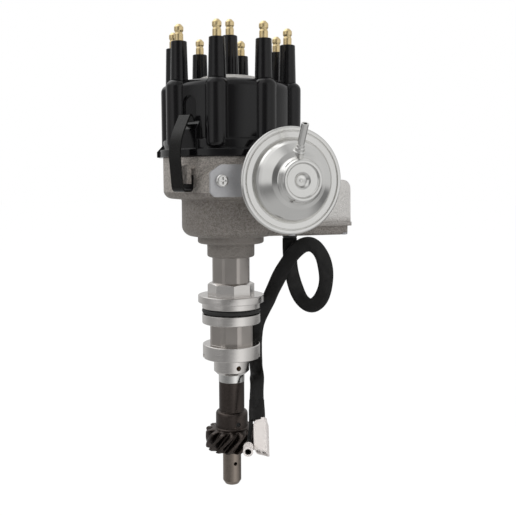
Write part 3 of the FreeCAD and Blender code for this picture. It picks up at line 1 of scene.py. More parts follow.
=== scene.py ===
import json
import math
import bmesh
import bpy
from mathutils import Matrix, Vector, noise


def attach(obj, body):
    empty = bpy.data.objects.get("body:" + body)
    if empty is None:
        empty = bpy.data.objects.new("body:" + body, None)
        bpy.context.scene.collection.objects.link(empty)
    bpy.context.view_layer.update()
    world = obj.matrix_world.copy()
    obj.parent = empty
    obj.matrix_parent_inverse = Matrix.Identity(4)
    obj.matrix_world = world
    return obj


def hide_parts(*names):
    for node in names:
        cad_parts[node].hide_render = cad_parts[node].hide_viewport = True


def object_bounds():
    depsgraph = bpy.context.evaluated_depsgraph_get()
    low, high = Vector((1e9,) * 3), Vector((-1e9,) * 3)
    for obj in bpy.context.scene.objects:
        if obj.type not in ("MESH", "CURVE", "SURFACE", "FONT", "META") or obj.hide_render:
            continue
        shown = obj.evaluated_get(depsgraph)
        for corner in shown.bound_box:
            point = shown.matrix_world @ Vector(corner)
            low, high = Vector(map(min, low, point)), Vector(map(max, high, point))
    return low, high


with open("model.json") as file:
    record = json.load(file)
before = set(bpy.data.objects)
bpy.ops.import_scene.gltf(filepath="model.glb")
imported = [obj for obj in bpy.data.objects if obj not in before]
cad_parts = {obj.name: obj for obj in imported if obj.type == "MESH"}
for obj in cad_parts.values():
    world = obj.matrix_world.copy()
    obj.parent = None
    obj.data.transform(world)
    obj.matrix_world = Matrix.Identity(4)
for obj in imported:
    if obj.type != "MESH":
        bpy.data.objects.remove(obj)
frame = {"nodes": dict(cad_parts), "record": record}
cad_box = [list(corner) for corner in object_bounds()]
nodes = frame["nodes"]
ROOT = "distributor_body"

# Camera, fitted to the photograph: metres and degrees, with its lens and sensor in millimetres
CAMERA_AT = (0.0, -0.513535, 0.082816)
CAMERA_PITCH = 5.922
CAMERA_YAW = 2.048
CAMERA_ROLL = -0.117
LENS = 53.05
SENSOR_WIDTH = 36.0

# Canister and its nipple in the side frame: millimetres and degrees
SIDE_BEARING = 18.0
CAN_OFFSET = 19.3
CAN_UP = 81.9
NIPPLE_OUT = 19.2
NIPPLE_FOOT = 73.0
NIPPLE_LEAN = 30.0

# Drive gear: heights and radii in millimetres, angles in degrees
GEAR_LOW = -103.0
GEAR_HIGH = -87.7
GEAR_HUB = -76.1
GEAR_TOP = -55.2
GEAR_TIP_R = 18.2
GEAR_ROOT_R = 13.9
GEAR_HUB_R = 11.0
GEAR_SLEEVE_R = 8.75
GEAR_BORE_R = 6.4
GEAR_HELIX = 44.0
GEAR_TEETH = 14
TOOTH_FOOT = 0.80  # from a tooth's middle, as a share of half the pitch
TOOTH_FLANK = 0.52  # width of one flank, in the same shares
PIN_BEARING = 24.0
PIN_UP = 4.0
PIN_HOLE_R = 1.62

# The loom's route in millimetres, from the grommet to the sleeve where it divides
LOOM_ROUTE = [
    (40.538, 7.914, 42.6), (40.538, 7.914, 33.0), (41.5, 8.6, 20.0), (44.8, 8.4, 7.5),
    (49.0, 7.8, -1.5), (55.5, 6.4, -5.5), (61.5, 4.4, -1.0), (64.8, 2.0, 8.5),
    (65.2, -0.5, 19.5), (61.8, -2.8, 32.3), (54.5, -4.2, 40.1), (45.5, -3.8, 37.5),
    (36.5, 1.0, 24.0), (29.5, 8.5, 8.0), (23.5, 15.5, -8.0), (18.0, 19.2, -20.0),
    (16.6, 19.6, -31.0), (16.8, 17.7, -36.7), (16.9, 13.7, -41.8), (17.1, 7.1, -46.3),
    (17.3, -4.8, -51.6), (17.1, -11.1, -56.8), (16.7, -14.65, -62.375), (16.7, -20.9, -73.2),
]

# The loom's flat sleeve: metres, and how fine its creases are, per metre
LOOM_WIDTH = 0.0104
LOOM_THICK = 0.0034
LOOM_STEP = 0.0012
LOOM_SIDES = 28
CREASE_HEIGHT = 0.0006
CREASES_ALONG = 260
CREASES_WIDE = 420
CREASES_DEEP = 200

# Connectors at the loom's end: millimetres and degrees
TAIL_TILT = 30.0  # of the loom's end, from upright
SLEEVE_ROWS = 17
SLEEVE_SIDES = 36
SLEEVE_FROM = -9.5  # along the loom, from its end
SLEEVE_LENGTH = 13.5
SLEEVE_LIFT = 0.5  # how far all of it then sits back up the loom
SLEEVE_WIDENS_FROM = -8.5
SLEEVE_WIDENS_OVER = 8.0
SLEEVE_HALF_WIDE = 5.10  # at its upper edge, like the next one
SLEEVE_HALF_THICK = 1.60
PLUG_TURN = 18.0  # about its own length
PLUG_SHIFT = 2.6  # across, from the loom's end
PLUG_DOWN = 4.0  # along, from the loom's end
PLUG_HALF_WIDE = 4.5
PLUG_HALF_DEEP = 3.7
PLUG_CORNER = 1.1
PLUG_SHOULDER = 6.0
PLUG_CORNER_LENGTH = 20.9  # its length at its left inner corner
PLUG_SLANT = (0.30, -0.34)  # what it gains in length per millimetre across and outward
WAY_MIDDLES = (-2.0, 2.0)
WAY_HALF_WIDE = 1.45
WAY_HALF_DEEP = 2.2
WAY_DEPTH = 7.0
# The gap round the dark contact blocks in the plug's ways, and how far back they start; the blocks are
# painted shade
SHADED_CONTACT_GAP = 0.07
SHADED_CONTACT_BACK = 2.0
BARREL_FOOT = (10.787, -31.569, -90.623)
BARREL_WAY = (-0.05214, -0.99483, -0.08716)  # where its mouth faces, with a length of 1

# Zones of the housing in metres: heights, and where the module box's smoother skin fades in
LANDS = ((-0.0497, -0.0287), (-0.0145, 0.0134))
SHANKS = ((-0.0287, -0.0145), (0.0134, 0.0306))
NECK = (0.0306, 0.0455)
UPPER_BOWL = (0.0745, 0.13)
BOX_FROM_X = (0.032, 0.056)
BOX_FROM_Z = (0.050, 0.058)

# What shiny surfaces see, as (bearing from -Y towards +X in degrees, level): in the lower part,
# round the object at its height and overhead, then straight below
LOW_SURROUND = [
    (-180, 0.55), (-130, 0.50), (-95, 0.36), (-70, 0.26), (-50, 0.20), (-28, 0.26), (-4, 0.44),
    (12, 0.66), (28, 0.95), (46, 0.95), (62, 0.70), (90, 0.42), (115, 0.16), (150, 0.30), (180, 0.55),
]
SURROUND = [
    (-180, 0.60), (-130, 0.52), (-106, 0.34), (-84, 0.34), (-66, 0.62), (-50, 0.78), (-38, 0.72),
    (-28, 0.20), (-6, 0.12), (6, 0.16), (16, 0.52), (28, 0.76), (46, 0.76), (62, 0.68), (100, 0.62),
    (150, 0.60), (180, 0.60),
]
HIGH_SURROUND = [
    (-180, 0.80), (-150, 1.50), (-100, 1.60), (-78, 0.95), (-24, 0.80), (-8, 0.48), (20, 0.40),
    (60, 0.55), (120, 0.62), (180, 0.80),
]
UNDERNEATH = 0.48
BRIGHTEST = 1.6  # of these levels

# How far up a ray points where one surround gives way to the next
LOW_TO_MIDDLE = (-0.20, -0.08)
MIDDLE_TO_HIGH = (0.40, 0.62)
LOW_TO_UNDERNEATH = (-0.40, -0.75)

# Studio: levels, and lamps as (name, place, width and height in metres, watts)
FILL_LEVEL = 0.24
FLOOR_HALF = 6.0
FLOOR_COLOUR = (0.9, 0.9, 0.9)
FLOOR_GLOW = 1.06
FLOOR_GLOW_SHARE = 0.93  # of what the camera sees, the rest being its lit colour
LAMP_AIM = (0.0, 0.0, 0.05)
LAMPS = [
    ("left_box", (-0.78, -0.45, 0.42), (0.5, 0.55), 3.4),
    ("right_box", (0.62, -0.66, 0.38), (0.5, 0.6), 3.0),
    ("top_box", (0.0, -0.05, 0.95), (1.0, 0.8), 6.0),
]

NOISE_SPAN = (0.3, 0.7)  # where most of a noise texture's values lie
CORNERS = ((1, 1), (-1, 1), (-1, -1), (1, -1))  # of a rectangle, going round


def grey(level):
    """A level of the surround as a colour, under the strength that its brightest needs."""
    return (level / BRIGHTEST,) * 3


def eased(share):
    """From 0 to 1, level at both ends."""
    share = min(max(share, 0.0), 1.0)
    return share * share * (3 - 2 * share)


def circle(sides):
    """The cosine and sine of each of a circle's points."""
    turns = [2 * math.pi * j / sides for j in range(sides)]
    return [(math.cos(turn), math.sin(turn)) for turn in turns]


def flat_section(sides, half_wide, half_thick, power_wide, power_thick):
    """Points round a flattened tube; powers under 1 make its sides straighter."""
    section = []
    for c, s in circle(sides):
        u = math.copysign(abs(c) ** power_wide, c) * half_wide
        v = math.copysign(abs(s) ** power_thick, s) * half_thick
        section.append((u, v))
    return section


def band_faces(rows, size, first=0, closed=False):
    """Faces between neighbouring rows of points; closed joins the last row to the first."""
    faces = []
    for i in range(rows if closed else rows - 1):
        low = first + i * size
        high = first + (i + 1) % rows * size
        for j in range(size):
            k = (j + 1) % size
            faces.append((low + j, low + k, high + k, high + j))
    return faces


def end_faces(rows, size, first=0):
    """The two faces that close a stack of rows."""
    last = first + (rows - 1) * size
    return [tuple(range(first, first + size))[::-1], tuple(range(last, last + size))]


def add_object(name, data):
    made = bpy.data.objects.new(name, data)
    bpy.context.scene.collection.objects.link(made)
    return made


def mesh_object(name, points, faces, smooth=True):
    data = bpy.data.meshes.new(name)
    data.from_pydata([tuple(p) for p in points], [], faces)
    data.update()
    if smooth:
        data.polygons.foreach_set("use_smooth", [True] * len(data.polygons))
    return add_object(name, data)


def outward_faces(piece):
    mesh = bmesh.new()
    mesh.from_mesh(piece.data)
    bmesh.ops.recalc_face_normals(mesh, faces=mesh.faces)
    mesh.to_mesh(piece.data)
    mesh.free()


def joined(name, pieces):
    """One object from several, whose own objects are then dropped."""
    mesh = bmesh.new()
    for piece in pieces:
        mesh.from_mesh(piece.data)
    data = bpy.data.meshes.new(name)
    mesh.to_mesh(data)
    mesh.free()
    for piece in pieces:
        bpy.data.objects.remove(piece)
    return add_object(name, data)


def rounded(corners, steps):
    """A profile line through (radius, height, rounding) corners, with its corners rounded."""
    line = []
    for i, (r, h, radius) in enumerate(corners):
        here = Vector((r, h))
        if radius == 0 or i in (0, len(corners) - 1):
            line.append(here)
            continue
        back = Vector(corners[i - 1][:2]) - here
        ahead = Vector(corners[i + 1][:2]) - here
        half = back.angle(ahead) / 2
        cut = min(radius / math.tan(half), back.length * 0.49, ahead.length * 0.49)
        start = here + back.normalized() * cut
        end = here + ahead.normalized() * cut
        for j in range(steps + 1):
            t = j / steps
            line.append(start * (1 - t) ** 2 + here * 2 * t * (1 - t) + end * t ** 2)
    return line


def turned_mesh(name, line, place, segments):
    """A surface turned from a profile line, set in space by place(r * cos, r * sin, height)."""
    points, faces, rows = [], [], []
    for r, h in line:
        if r < 1e-6:
            rows.append([len(points)] * segments)
            points.append(place(0.0, 0.0, h))
            continue
        rows.append([len(points) + j for j in range(segments)])
        points += [place(r * c, r * s, h) for c, s in circle(segments)]
    for low, high in zip(rows, rows[1:]):
        for j in range(segments):
            k = (j + 1) % segments
            face = list(dict.fromkeys((low[j], low[k], high[k], high[j])))
            if len(face) > 2:
                faces.append(face)
    made = mesh_object(name, points, faces)
    outward_faces(made)
    return made


def drilled(piece, radius, bearing, height, reach):
    """Cuts a hole through a piece, square to the shaft."""
    turn = math.radians(bearing)
    along = Vector((math.sin(turn), -math.cos(turn), 0.0))
    across = Vector((math.cos(turn), math.sin(turn), 0.0))
    up = Vector((0.0, 0.0, 1.0))
    sides = 24
    ring = [up * height + (across * c + up * s) * radius for c, s in circle(sides)]
    points = [(p + along * end) / 1000 for end in (-reach, reach) for p in ring]
    tool = mesh_object("drill", points, band_faces(2, sides) + end_faces(2, sides), False)
    outward_faces(tool)
    cut = piece.modifiers.new("hole", "BOOLEAN")
    cut.operation = "DIFFERENCE"
    cut.solver = "EXACT"
    cut.object = tool
    bpy.context.view_layer.update()
    made = bpy.data.meshes.new_from_object(piece.evaluated_get(bpy.context.evaluated_depsgraph_get()))
    piece.modifiers.clear()
    piece.data = made
    bpy.data.objects.remove(tool)


class Tree:
    """A tree of shader nodes, built up from sockets."""

    def __init__(self, owner):
        owner.use_nodes = True
        self.tree = owner.node_tree
        self.tree.nodes.clear()

    def give(self, socket, value):
        if isinstance(value, bpy.types.NodeSocket):
            self.tree.links.new(value, socket)
        elif isinstance(value, tuple) and len(value) == 3 and socket.type == "RGBA":
            socket.default_value = (*value, 1.0)
        else:
            socket.default_value = value

    def add(self, kind, **inputs):
        """A node with its inputs given by name, or as i0, i1 and so on by number."""
        made = self.tree.nodes.new("ShaderNode" + kind)
        for key, value in inputs.items():
            self.give(made.inputs[int(key[1:]) if key[1:].isdigit() else key.replace("_", " ")], value)
        return made

    def node(self, kind, out=0, **inputs):
        return self.add(kind, **inputs).outputs[out]

    def math(self, operation, a, b=0.0):
        made = self.add("Math", i0=a, i1=b)
        made.operation = operation
        return made.outputs[0]

    def remap(self, value, low, high, to_low=0.0, to_high=1.0):
        return self.node("MapRange", Value=value, From_Min=low, From_Max=high, To_Min=to_low, To_Max=to_high)

    def mix(self, share, a, b):
        made = self.tree.nodes.new("ShaderNodeMix")
        made.data_type = "RGBA"
        for index, value in ((0, share), (6, a), (7, b)):
            self.give(made.inputs[index], value)
        return made.outputs[2]

    def mix_value(self, share, a, b):
        return self.node("Mix", i0=share, i2=a, i3=b)

    def parts(self, vector):
        """The x, y and z of a vector."""
        return tuple(self.add("SeparateXYZ", i0=vector).outputs)

    def band(self, share, levels):
        """Grey levels by bearing, all round; a ramp has its two ends from the start."""
        made = self.add("ValToRGB", i0=share)
        stops = made.color_ramp.elements
        stops[0].color = (*grey(levels[0][1]), 1.0)
        stops[1].color = (*grey(levels[-1][1]), 1.0)
        for degrees, level in levels[1:-1]:
            stops.new((degrees + 180) / 360).color = (*grey(level), 1.0)
        return made.outputs[0]


class Surface(Tree):
    """A procedural material."""

    def __init__(self, name):
        self.material = bpy.data.materials.new(name)
        super().__init__(self.material)
        self.shader = self.add("BsdfPrincipled")
        self.add("OutputMaterial", i0=self.shader.outputs[0])
        self.place = self.node("TexCoord", out="Object")
        self.x, _, self.z = self.parts(self.place)

    def noise(self, scale, detail, stretch=None):
        where = self.node("Mapping", i0=self.place, Scale=stretch) if stretch else self.place
        return self.node("TexNoise", Vector=where, Scale=scale, Detail=detail)

    def between(self, value, low, high):
        """1 where the value lies between two limits, otherwise 0."""
        above = self.math("GREATER_THAN", value, low)
        below = self.math("LESS_THAN", value, high)
        return self.math("MULTIPLY", above, below)

    def heights(self, *zones):
        """1 in either of two zones of height, otherwise 0."""
        first, second = (self.between(self.z, *zone) for zone in zones)
        return self.math("ADD", first, second)

    def bump(self, height, strength, distance, normal):
        return self.node("Bump", Strength=strength, Distance=distance, Height=height, Normal=normal)

    def bevel(self, radius):
        made = self.add("Bevel", Radius=radius)
        made.samples = 6
        return made.outputs[0]

    def finish(self, colour, rough, metal, normal, **more):
        inputs = {"Base_Color": colour, "Roughness": rough, "Metallic": metal, "Normal": normal, **more}
        for key, value in inputs.items():
            self.give(self.shader.inputs[key.replace("_", " ")], value)
        return self.material


def cast_skin_and_painted_light(s, fine, coarse, cloud):
    """The colour as cast: grainy on the bowls, plainer on the neck, smooth and pale on the module box; with
    painted light, the upper bowl lighter than the lower.
    """
    upper = s.between(s.z, *UPPER_BOWL)
    neck = s.between(s.z, *NECK)
    box = s.math("MULTIPLY", s.remap(s.x, *BOX_FROM_X), s.remap(s.z, *BOX_FROM_Z))
    sand = s.math("ADD", s.math("MULTIPLY", fine, 0.65), s.math("MULTIPLY", coarse, 0.35))
    lower_share, upper_share, neck_share = 0.64, 0.78, 0.30
    share = s.mix_value(neck, s.mix_value(upper, lower_share, upper_share), neck_share)
    # painted light: the upper bowl's skin and grains are lighter, for the light that falls on it more than on
    # the lower bowl
    grains = s.mix(upper, (0.52, 0.480, 0.445), (0.76, 0.71, 0.66))
    skin = s.mix(cloud, (0.190, 0.173, 0.158), (0.275, 0.253, 0.232))
    skin = s.mix(s.math("MULTIPLY", upper, 0.55), skin, (0.44, 0.41, 0.38))
    skin = s.mix(s.math("MULTIPLY", s.remap(sand, 0.41, 0.60), share), skin, grains)
    skin = s.mix(s.math("MULTIPLY", neck, 0.30), skin, (0.40, 0.370, 0.343))
    return s.mix(s.math("MULTIPLY", box, 0.85), skin, (0.90, 0.880, 0.855))


def cast_housing():
    """Cast aluminium, with its shanks skimmed and its lands and lower collar machined bright."""
    s = Surface("cast_and_machined_aluminium")
    fine = s.noise(1500, 4)
    coarse = s.noise(620, 3)
    cloud = s.noise(60, 3)
    rings = s.noise(70, 3, stretch=(1, 1, 60))
    lands = s.heights(*LANDS)
    shanks = s.heights(*SHANKS)
    machined = s.math("MAXIMUM", lands, shanks)
    skimmed = s.mix(cloud, (0.42, 0.39, 0.365), (0.54, 0.505, 0.475))
    bright = s.mix(rings, (0.73, 0.705, 0.68), (0.80, 0.775, 0.75))
    colour = s.mix(lands, s.mix(shanks, cast_skin_and_painted_light(s, fine, coarse, cloud), skimmed), bright)
    rough = s.mix_value(shanks, s.remap(fine, *NOISE_SPAN, 0.46, 0.62), 0.34)
    rough = s.mix_value(lands, rough, s.remap(rings, *NOISE_SPAN, 0.19, 0.27))
    sand = s.math("ADD", s.math("MULTIPLY", fine, 0.7), coarse)
    height = s.mix_value(machined, sand, s.math("MULTIPLY", rings, 0.05))
    normal = s.bump(height, 0.85, 0.0008, s.bevel(0.0005))
    return s.finish(colour, rough, s.mix_value(machined, 0.75, 1.0), normal)


def smooth_metal(name, low, high, rough, scale=300, bump=0.05, bevel=0.0003, metal=1.0):
    """Metal whose colour and roughness vary between two values each."""
    s = Surface(name)
    grain = s.noise(scale, 4)
    normal = s.bump(grain, bump, 0.0004, s.bevel(bevel))
    return s.finish(s.mix(grain, low, high), s.remap(grain, *NOISE_SPAN, *rough), metal, normal)


def moulded(name, low, high, rough, scale=900, bump=0.08, bevel=0.0003, **more):
    """Plastic, rubber, carbon or paint, varied in the same way."""
    s = Surface(name)
    colour = s.mix(s.noise(45, 2), low, high)
    normal = s.bump(s.noise(scale, 3), bump, 0.0003, s.bevel(bevel))
    return s.finish(colour, s.remap(s.noise(120, 3), *NOISE_SPAN, *rough), 0.0, normal, **more)


# The material of each slot
MATERIALS = {
    "cast": cast_housing(),
    "cap_black": moulded(
        "gloss_black_moulding", (0.0035, 0.0035, 0.004), (0.0055, 0.005, 0.0055), (0.10, 0.17),
        bump=0.02, bevel=0.0007, Specular_IOR_Level=0.40,
    ),
    "disc_grey": moulded(
        "granular_grey", (0.26, 0.25, 0.24), (0.46, 0.45, 0.43), (0.6, 0.8), scale=1100, bump=0.8,
    ),
    "brass": smooth_metal("brass", (0.88, 0.68, 0.35), (0.97, 0.80, 0.48), (0.26, 0.38), bevel=0.0002),
    "zinc": smooth_metal(
        "bright_zinc", (0.76, 0.755, 0.735), (0.86, 0.855, 0.835), (0.17, 0.27), scale=48, bump=0.16,
    ),
    "zinc_plate": smooth_metal(
        "zinc_plate", (0.36, 0.36, 0.37), (0.46, 0.46, 0.47), (0.32, 0.44),
        scale=700, bump=0.12, bevel=0.0007, metal=0.25,
    ),
    "clip_black": moulded(
        "black_spring_leaf", (0.003, 0.003, 0.003), (0.007, 0.0066, 0.006), (0.22, 0.34),
        scale=600, bump=0.12, Specular_IOR_Level=0.30,
    ),
    "gear_steel": smooth_metal(
        "oxide_black_steel", (0.055, 0.046, 0.041), (0.125, 0.104, 0.095), (0.30, 0.48), scale=900, bump=0.30,
    ),
    "shaft_steel": smooth_metal(
        "plain_steel", (0.25, 0.212, 0.182), (0.38, 0.325, 0.28), (0.26, 0.42), scale=700, bump=0.12,
    ),
    "bronze": smooth_metal(
        "sintered_bronze", (0.42, 0.28, 0.14), (0.55, 0.38, 0.20), (0.45, 0.60), scale=1200, bump=0.3,
    ),
    "rubber_black": moulded(
        "black_rubber", (0.012, 0.012, 0.012), (0.022, 0.021, 0.020), (0.45, 0.6), bump=0.15,
    ),
    "dark_plastic": moulded(
        "dark_moulding", (0.020, 0.020, 0.022), (0.032, 0.031, 0.034), (0.4, 0.55), bump=0.15,
    ),
    "white_plastic": moulded("white_nylon", (0.76, 0.71, 0.68), (0.86, 0.81, 0.78), (0.38, 0.5)),
    "loom_black": moulded(
        "sleeving", (0.004, 0.004, 0.004), (0.009, 0.0086, 0.008), (0.34, 0.55),
        scale=260, bump=0.35, Specular_IOR_Level=0.30,
    ),
    "carbon": moulded("carbon", (0.02, 0.02, 0.02), (0.03, 0.03, 0.03), (0.5, 0.6)),
}


def dress(piece, slot_name):
    piece.data.materials.clear()
    piece.data.materials.append(MATERIALS[slot_name])


def crease(piece):
    """Smooth shading that stays sharp at edges over 30 degrees."""
    weld = piece.modifiers.new("weld", "WELD")
    weld.merge_threshold = 0.000002
    split = piece.modifiers.new("crease", "EDGE_SPLIT")
    split.split_angle = math.radians(30)
    even = piece.modifiers.new("even", "WEIGHTED_NORMAL")
    even.keep_sharp = True


def place_piece(piece, slot_name, *stands_for, body=ROOT):
    dress(piece, slot_name)
    crease(piece)
    if stands_for:
        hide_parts(*stands_for)
    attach(piece, body)


def make_camera():
    yaw, pitch, roll = (math.radians(a) for a in (CAMERA_YAW, CAMERA_PITCH, CAMERA_ROLL))
    forward = Vector((math.sin(yaw) * math.cos(pitch), math.cos(yaw) * math.cos(pitch), -math.sin(pitch)))
    level = Vector((math.cos(yaw), -math.sin(yaw), 0.0))
    above = level.cross(forward)
    right = level * math.cos(roll) + above * math.sin(roll)
    up = above * math.cos(roll) - level * math.sin(roll)
    data = bpy.data.cameras.new("camera")
    data.lens = LENS
    data.sensor_width = SENSOR_WIDTH
    data.clip_start = 0.01
    camera = add_object("camera", data)
    turn = Matrix((right, up, -forward)).transposed()
    camera.matrix_world = Matrix.Translation(CAMERA_AT) @ turn.to_4x4()
    bpy.context.scene.camera = camera


def spline_points(route):
    """Points along the smooth curve that a route's points control, in metres."""
    data = bpy.data.curves.new("route", "CURVE")
    data.dimensions = "3D"
    data.resolution_u = 12
    spline = data.splines.new("NURBS")
    spline.points.add(len(route) - 1)
    for place, (x, y, z) in zip(spline.points, route):
        place.co = (x / 1000, y / 1000, z / 1000, 1)
    spline.order_u = 3
    spline.use_endpoint_u = True
    curve = add_object("route", data)
    line = bpy.data.meshes.new_from_object(curve)
    points = [v.co.copy() for v in line.vertices]
    bpy.data.objects.remove(curve)
    bpy.data.meshes.remove(line)
    return points


def evenly(points, step):
    """The same line with its points a step apart."""
    kept = [points[0]]
    left = step
    for a, b in zip(points, points[1:]):
        run = (b - a).length
        at = 0.0
        while run - at >= left:
            at += left
            kept.append(a.lerp(b, at / run))
            left = step
        left -= run - at
    if (points[-1] - kept[-1]).length > step * 0.3:
        kept.append(points[-1])
    return kept


def wave(share, size, radians, start=0.0):
    """A wave of a given size, running through so many radians along the loom."""
    return size * math.sin(share * radians + start)


def loom_ring(share, here, along):
    """The loom's section at a share of its length: a flat sleeve that leans, narrows and creases."""
    facing = Vector((wave(share, 0.30, 21.0) + wave(share, 0.12, 47.0, 1.3), -1.0, 0.0))
    out = (facing - along * facing.dot(along)).normalized()
    across = along.cross(out)
    half = LOOM_WIDTH / 2 * (0.97 + wave(share, 0.03, 60.0))
    thick = LOOM_THICK / 2 * (1.0 + wave(share, 0.25, 33.0, 0.6))
    ring = []
    for u, v in flat_section(LOOM_SIDES, half, thick, power_wide=0.8, power_thick=0.9):
        fold = noise.noise(here * CREASES_ALONG + Vector((u * CREASES_WIDE, 0, v * CREASES_DEEP)))
        ring.append(here + across * u + out * (v + fold * CREASE_HEIGHT * (1 - (u / half) ** 2)))
    return ring


def make_loom():
    path = evenly(spline_points(LOOM_ROUTE), LOOM_STEP)
    last = len(path) - 1
    points = []
    for i, here in enumerate(path):
        along = (path[min(i + 1, last)] - path[max(i - 1, 0)]).normalized()
        points += loom_ring(i / last, here, along)
    faces = band_faces(len(path), LOOM_SIDES) + end_faces(len(path), LOOM_SIDES)
    loom = mesh_object("wiring_loom", points, faces)
    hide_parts("loom")
    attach(loom, ROOT)
    return loom, path


def can_place(across, up, depth):
    """A point in metres from the canister's axis, with its depth along that axis."""
    turn = math.radians(SIDE_BEARING)
    beside = CAN_OFFSET + across
    x = beside * math.cos(turn) + depth * math.sin(turn)
    y = beside * math.sin(turn) - depth * math.cos(turn)
    return Vector((x, y, CAN_UP + up)) / 1000


def nipple_place(across, tilt, along):
    """A point in metres from the nipple's axis; along runs from where it leaves the front shell."""
    lean = math.radians(NIPPLE_LEAN)
    up = NIPPLE_OUT + along * math.cos(lean) - tilt * math.sin(lean)
    depth = NIPPLE_FOOT + along * math.sin(lean) + tilt * math.cos(lean)
    return can_place(across, up, depth)


def make_can_front():
    """The canister's front half, as (radius, depth, rounding) corners from the rim inwards."""
    rim = [(30.0, 58.4, 0), (31.6, 58.4, 0.8), (32.7, 59.2, 0.9), (32.7, 61.2, 1.0), (31.8, 62.0, 0.6)]
    outer_groove = [(30.25, 62.0, 0.25), (30.05, 60.9, 0.1), (29.6, 60.9, 0.1), (29.4, 61.95, 0.25)]
    inner_groove = [(25.9, 61.95, 0.3), (25.6, 61.0, 0.15), (25.15, 61.2, 0.2)]
    dome = [
        (24.5, 64.8, 0.8), (23.6, 66.5, 1.5), (22.3, 68.1, 3.0), (17.4, 72.4, 3.0), (14.4, 73.8, 1.6),
        (13.3, 75.8, 1.2),
    ]
    boss = [
        (12.9, 77.0, 0.5), (12.2, 78.2, 0.5), (11.7, 78.5, 0.3), (10.6, 78.5, 0.3), (10.1, 77.6, 0.3),
        (9.7, 77.2, 0.4), (5.2, 77.2, 0.6),
    ]
    dimple = [(4.3, 76.6, 0.6), (3.2, 75.4, 0.8), (1.2, 75.0, 0.5), (0.8, 75.4, 0.3), (0, 75.5, 0)]
    collar = [
        (2.7, -4.6, 0), (3.7, -4.6, 0), (3.7, -1.9, 0.4), (3.2, -1.5, 0.3), (3.2, 0.3, 0.35),
        (2.9, 0.8, 0.25), (2.7, 0.8, 0),
    ]
    profile = rounded(rim + outer_groove + inner_groove + dome + boss + dimple, steps=6)
    front = turned_mesh("front", profile, can_place, segments=144)
    ring = turned_mesh("ring", rounded(collar, steps=4), nipple_place, segments=40)
    place_piece(joined("can_front", [front, ring]), "zinc", "vacuum_front_shell")


def gear_rows():
    """Rows of the drive gear from its lower face up: height, radius between teeth, radius on a tooth."""
    low, high, hub, top = GEAR_LOW, GEAR_HIGH, GEAR_HUB, GEAR_TOP
    edge = [(0.0, 12.7, 12.9), (0.25, 13.5, 14.5), (0.8, GEAR_ROOT_R, 16.9)]
    rows = [(low, GEAR_BORE_R, GEAR_BORE_R)] + [(low + inset, root, tip) for inset, root, tip in edge]
    steps = 14
    for i in range(steps + 1):
        tip = GEAR_TIP_R - 0.24 * (i in (0, steps))
        rows.append((low + 1.5 + (high - low - 3.0) * i / steps, GEAR_ROOT_R, tip))
    rows += [(high - inset, root, tip) for inset, root, tip in reversed(edge)]
    hub_line = [
        (high, GEAR_HUB_R + 0.5), (high + 0.6, GEAR_HUB_R + 0.05), (hub - 2.2, GEAR_HUB_R),
        (hub - 1.2, GEAR_HUB_R - 0.15), (hub - 0.4, GEAR_HUB_R - 0.7), (hub - 0.05, GEAR_HUB_R - 1.4),
        (hub, GEAR_HUB_R - 1.9),
    ]
    sleeve_line = [
        (hub + 0.1, GEAR_SLEEVE_R + 0.1), (hub + 0.5, GEAR_SLEEVE_R), (top - 0.6, GEAR_SLEEVE_R),
        (top - 0.1, GEAR_SLEEVE_R - 0.25), (top, GEAR_SLEEVE_R - 0.65), (top, GEAR_BORE_R),
    ]
    return rows + [(z, r, r) for z, r in hub_line + sleeve_line]


def make_gear():
    """The drive gear, a ring of helical teeth with rounded flanks under a hub and a long sleeve."""
    samples = 16
    segments = GEAR_TEETH * samples
    face = GEAR_HIGH - GEAR_LOW
    twist = face * math.tan(math.radians(GEAR_HELIX)) / GEAR_TIP_R
    rows = gear_rows()
    points = []
    for z, root, tip in rows:
        share = min(max((z - GEAR_LOW) / face, 0.0), 1.0)
        for j in range(segments):
            angle = 2 * math.pi * j / segments
            phase = (angle - twist * share) * GEAR_TEETH / (2 * math.pi)
            off = abs((phase + 0.5) % 1.0 - 0.5) * 2
            r = root + (tip - root) * eased((TOOTH_FOOT - off) / TOOTH_FLANK)
            points.append(Vector((r * math.cos(angle), r * math.sin(angle), z)) / 1000)
    gear = mesh_object("helical_gear", points, band_faces(len(rows), segments, closed=True))
    outward_faces(gear)
    drilled(gear, PIN_HOLE_R, PIN_BEARING, GEAR_HIGH + PIN_UP, reach=14.0)
    place_piece(gear, "gear_steel", "drive_gear", body="shaft_group")


def tail_ways():
    """The ways down, across and outward at the loom's end."""
    tilt = math.radians(TAIL_TILT)
    along = Vector((0.0, -math.sin(tilt), -math.cos(tilt)))
    out = Vector((0.0, -math.cos(tilt), math.sin(tilt)))
    return along, Vector((1.0, 0.0, 0.0)), out


def make_sleeve_end():
    """The shrink sleeve over the loom's end, widening to close round the plug, with an arched edge."""
    along, across, out = tail_ways()
    start = Vector(LOOM_ROUTE[-1])
    points = []
    for i in range(SLEEVE_ROWS):
        share = i / (SLEEVE_ROWS - 1)
        t = SLEEVE_FROM + SLEEVE_LENGTH * share
        grown = eased((t - SLEEVE_WIDENS_FROM) / SLEEVE_WIDENS_OVER)
        half = SLEEVE_HALF_WIDE + 0.35 * grown
        thick = SLEEVE_HALF_THICK + 1.90 * grown
        for u, v in flat_section(SLEEVE_SIDES, half, thick, power_wide=0.75, power_thick=0.85):
            fold = noise.noise(Vector((u * 0.45, v * 0.3 + 7.0, t * 0.35)))
            v += fold * 0.45 * (1 - abs(u / half) ** 3) * (1 - 0.6 * grown)
            arch = 0.9 * (abs(u) / half) ** 2 * share ** 4
            points.append((start + along * (t - SLEEVE_LIFT + arch) + across * u + out * v) / 1000)
    faces = band_faces(SLEEVE_ROWS, SLEEVE_SIDES) + end_faces(SLEEVE_ROWS, SLEEVE_SIDES)
    sleeve = mesh_object("sleeve_end", points, faces)
    outward_faces(sleeve)
    place_piece(sleeve, "loom_black", "loom_boot")


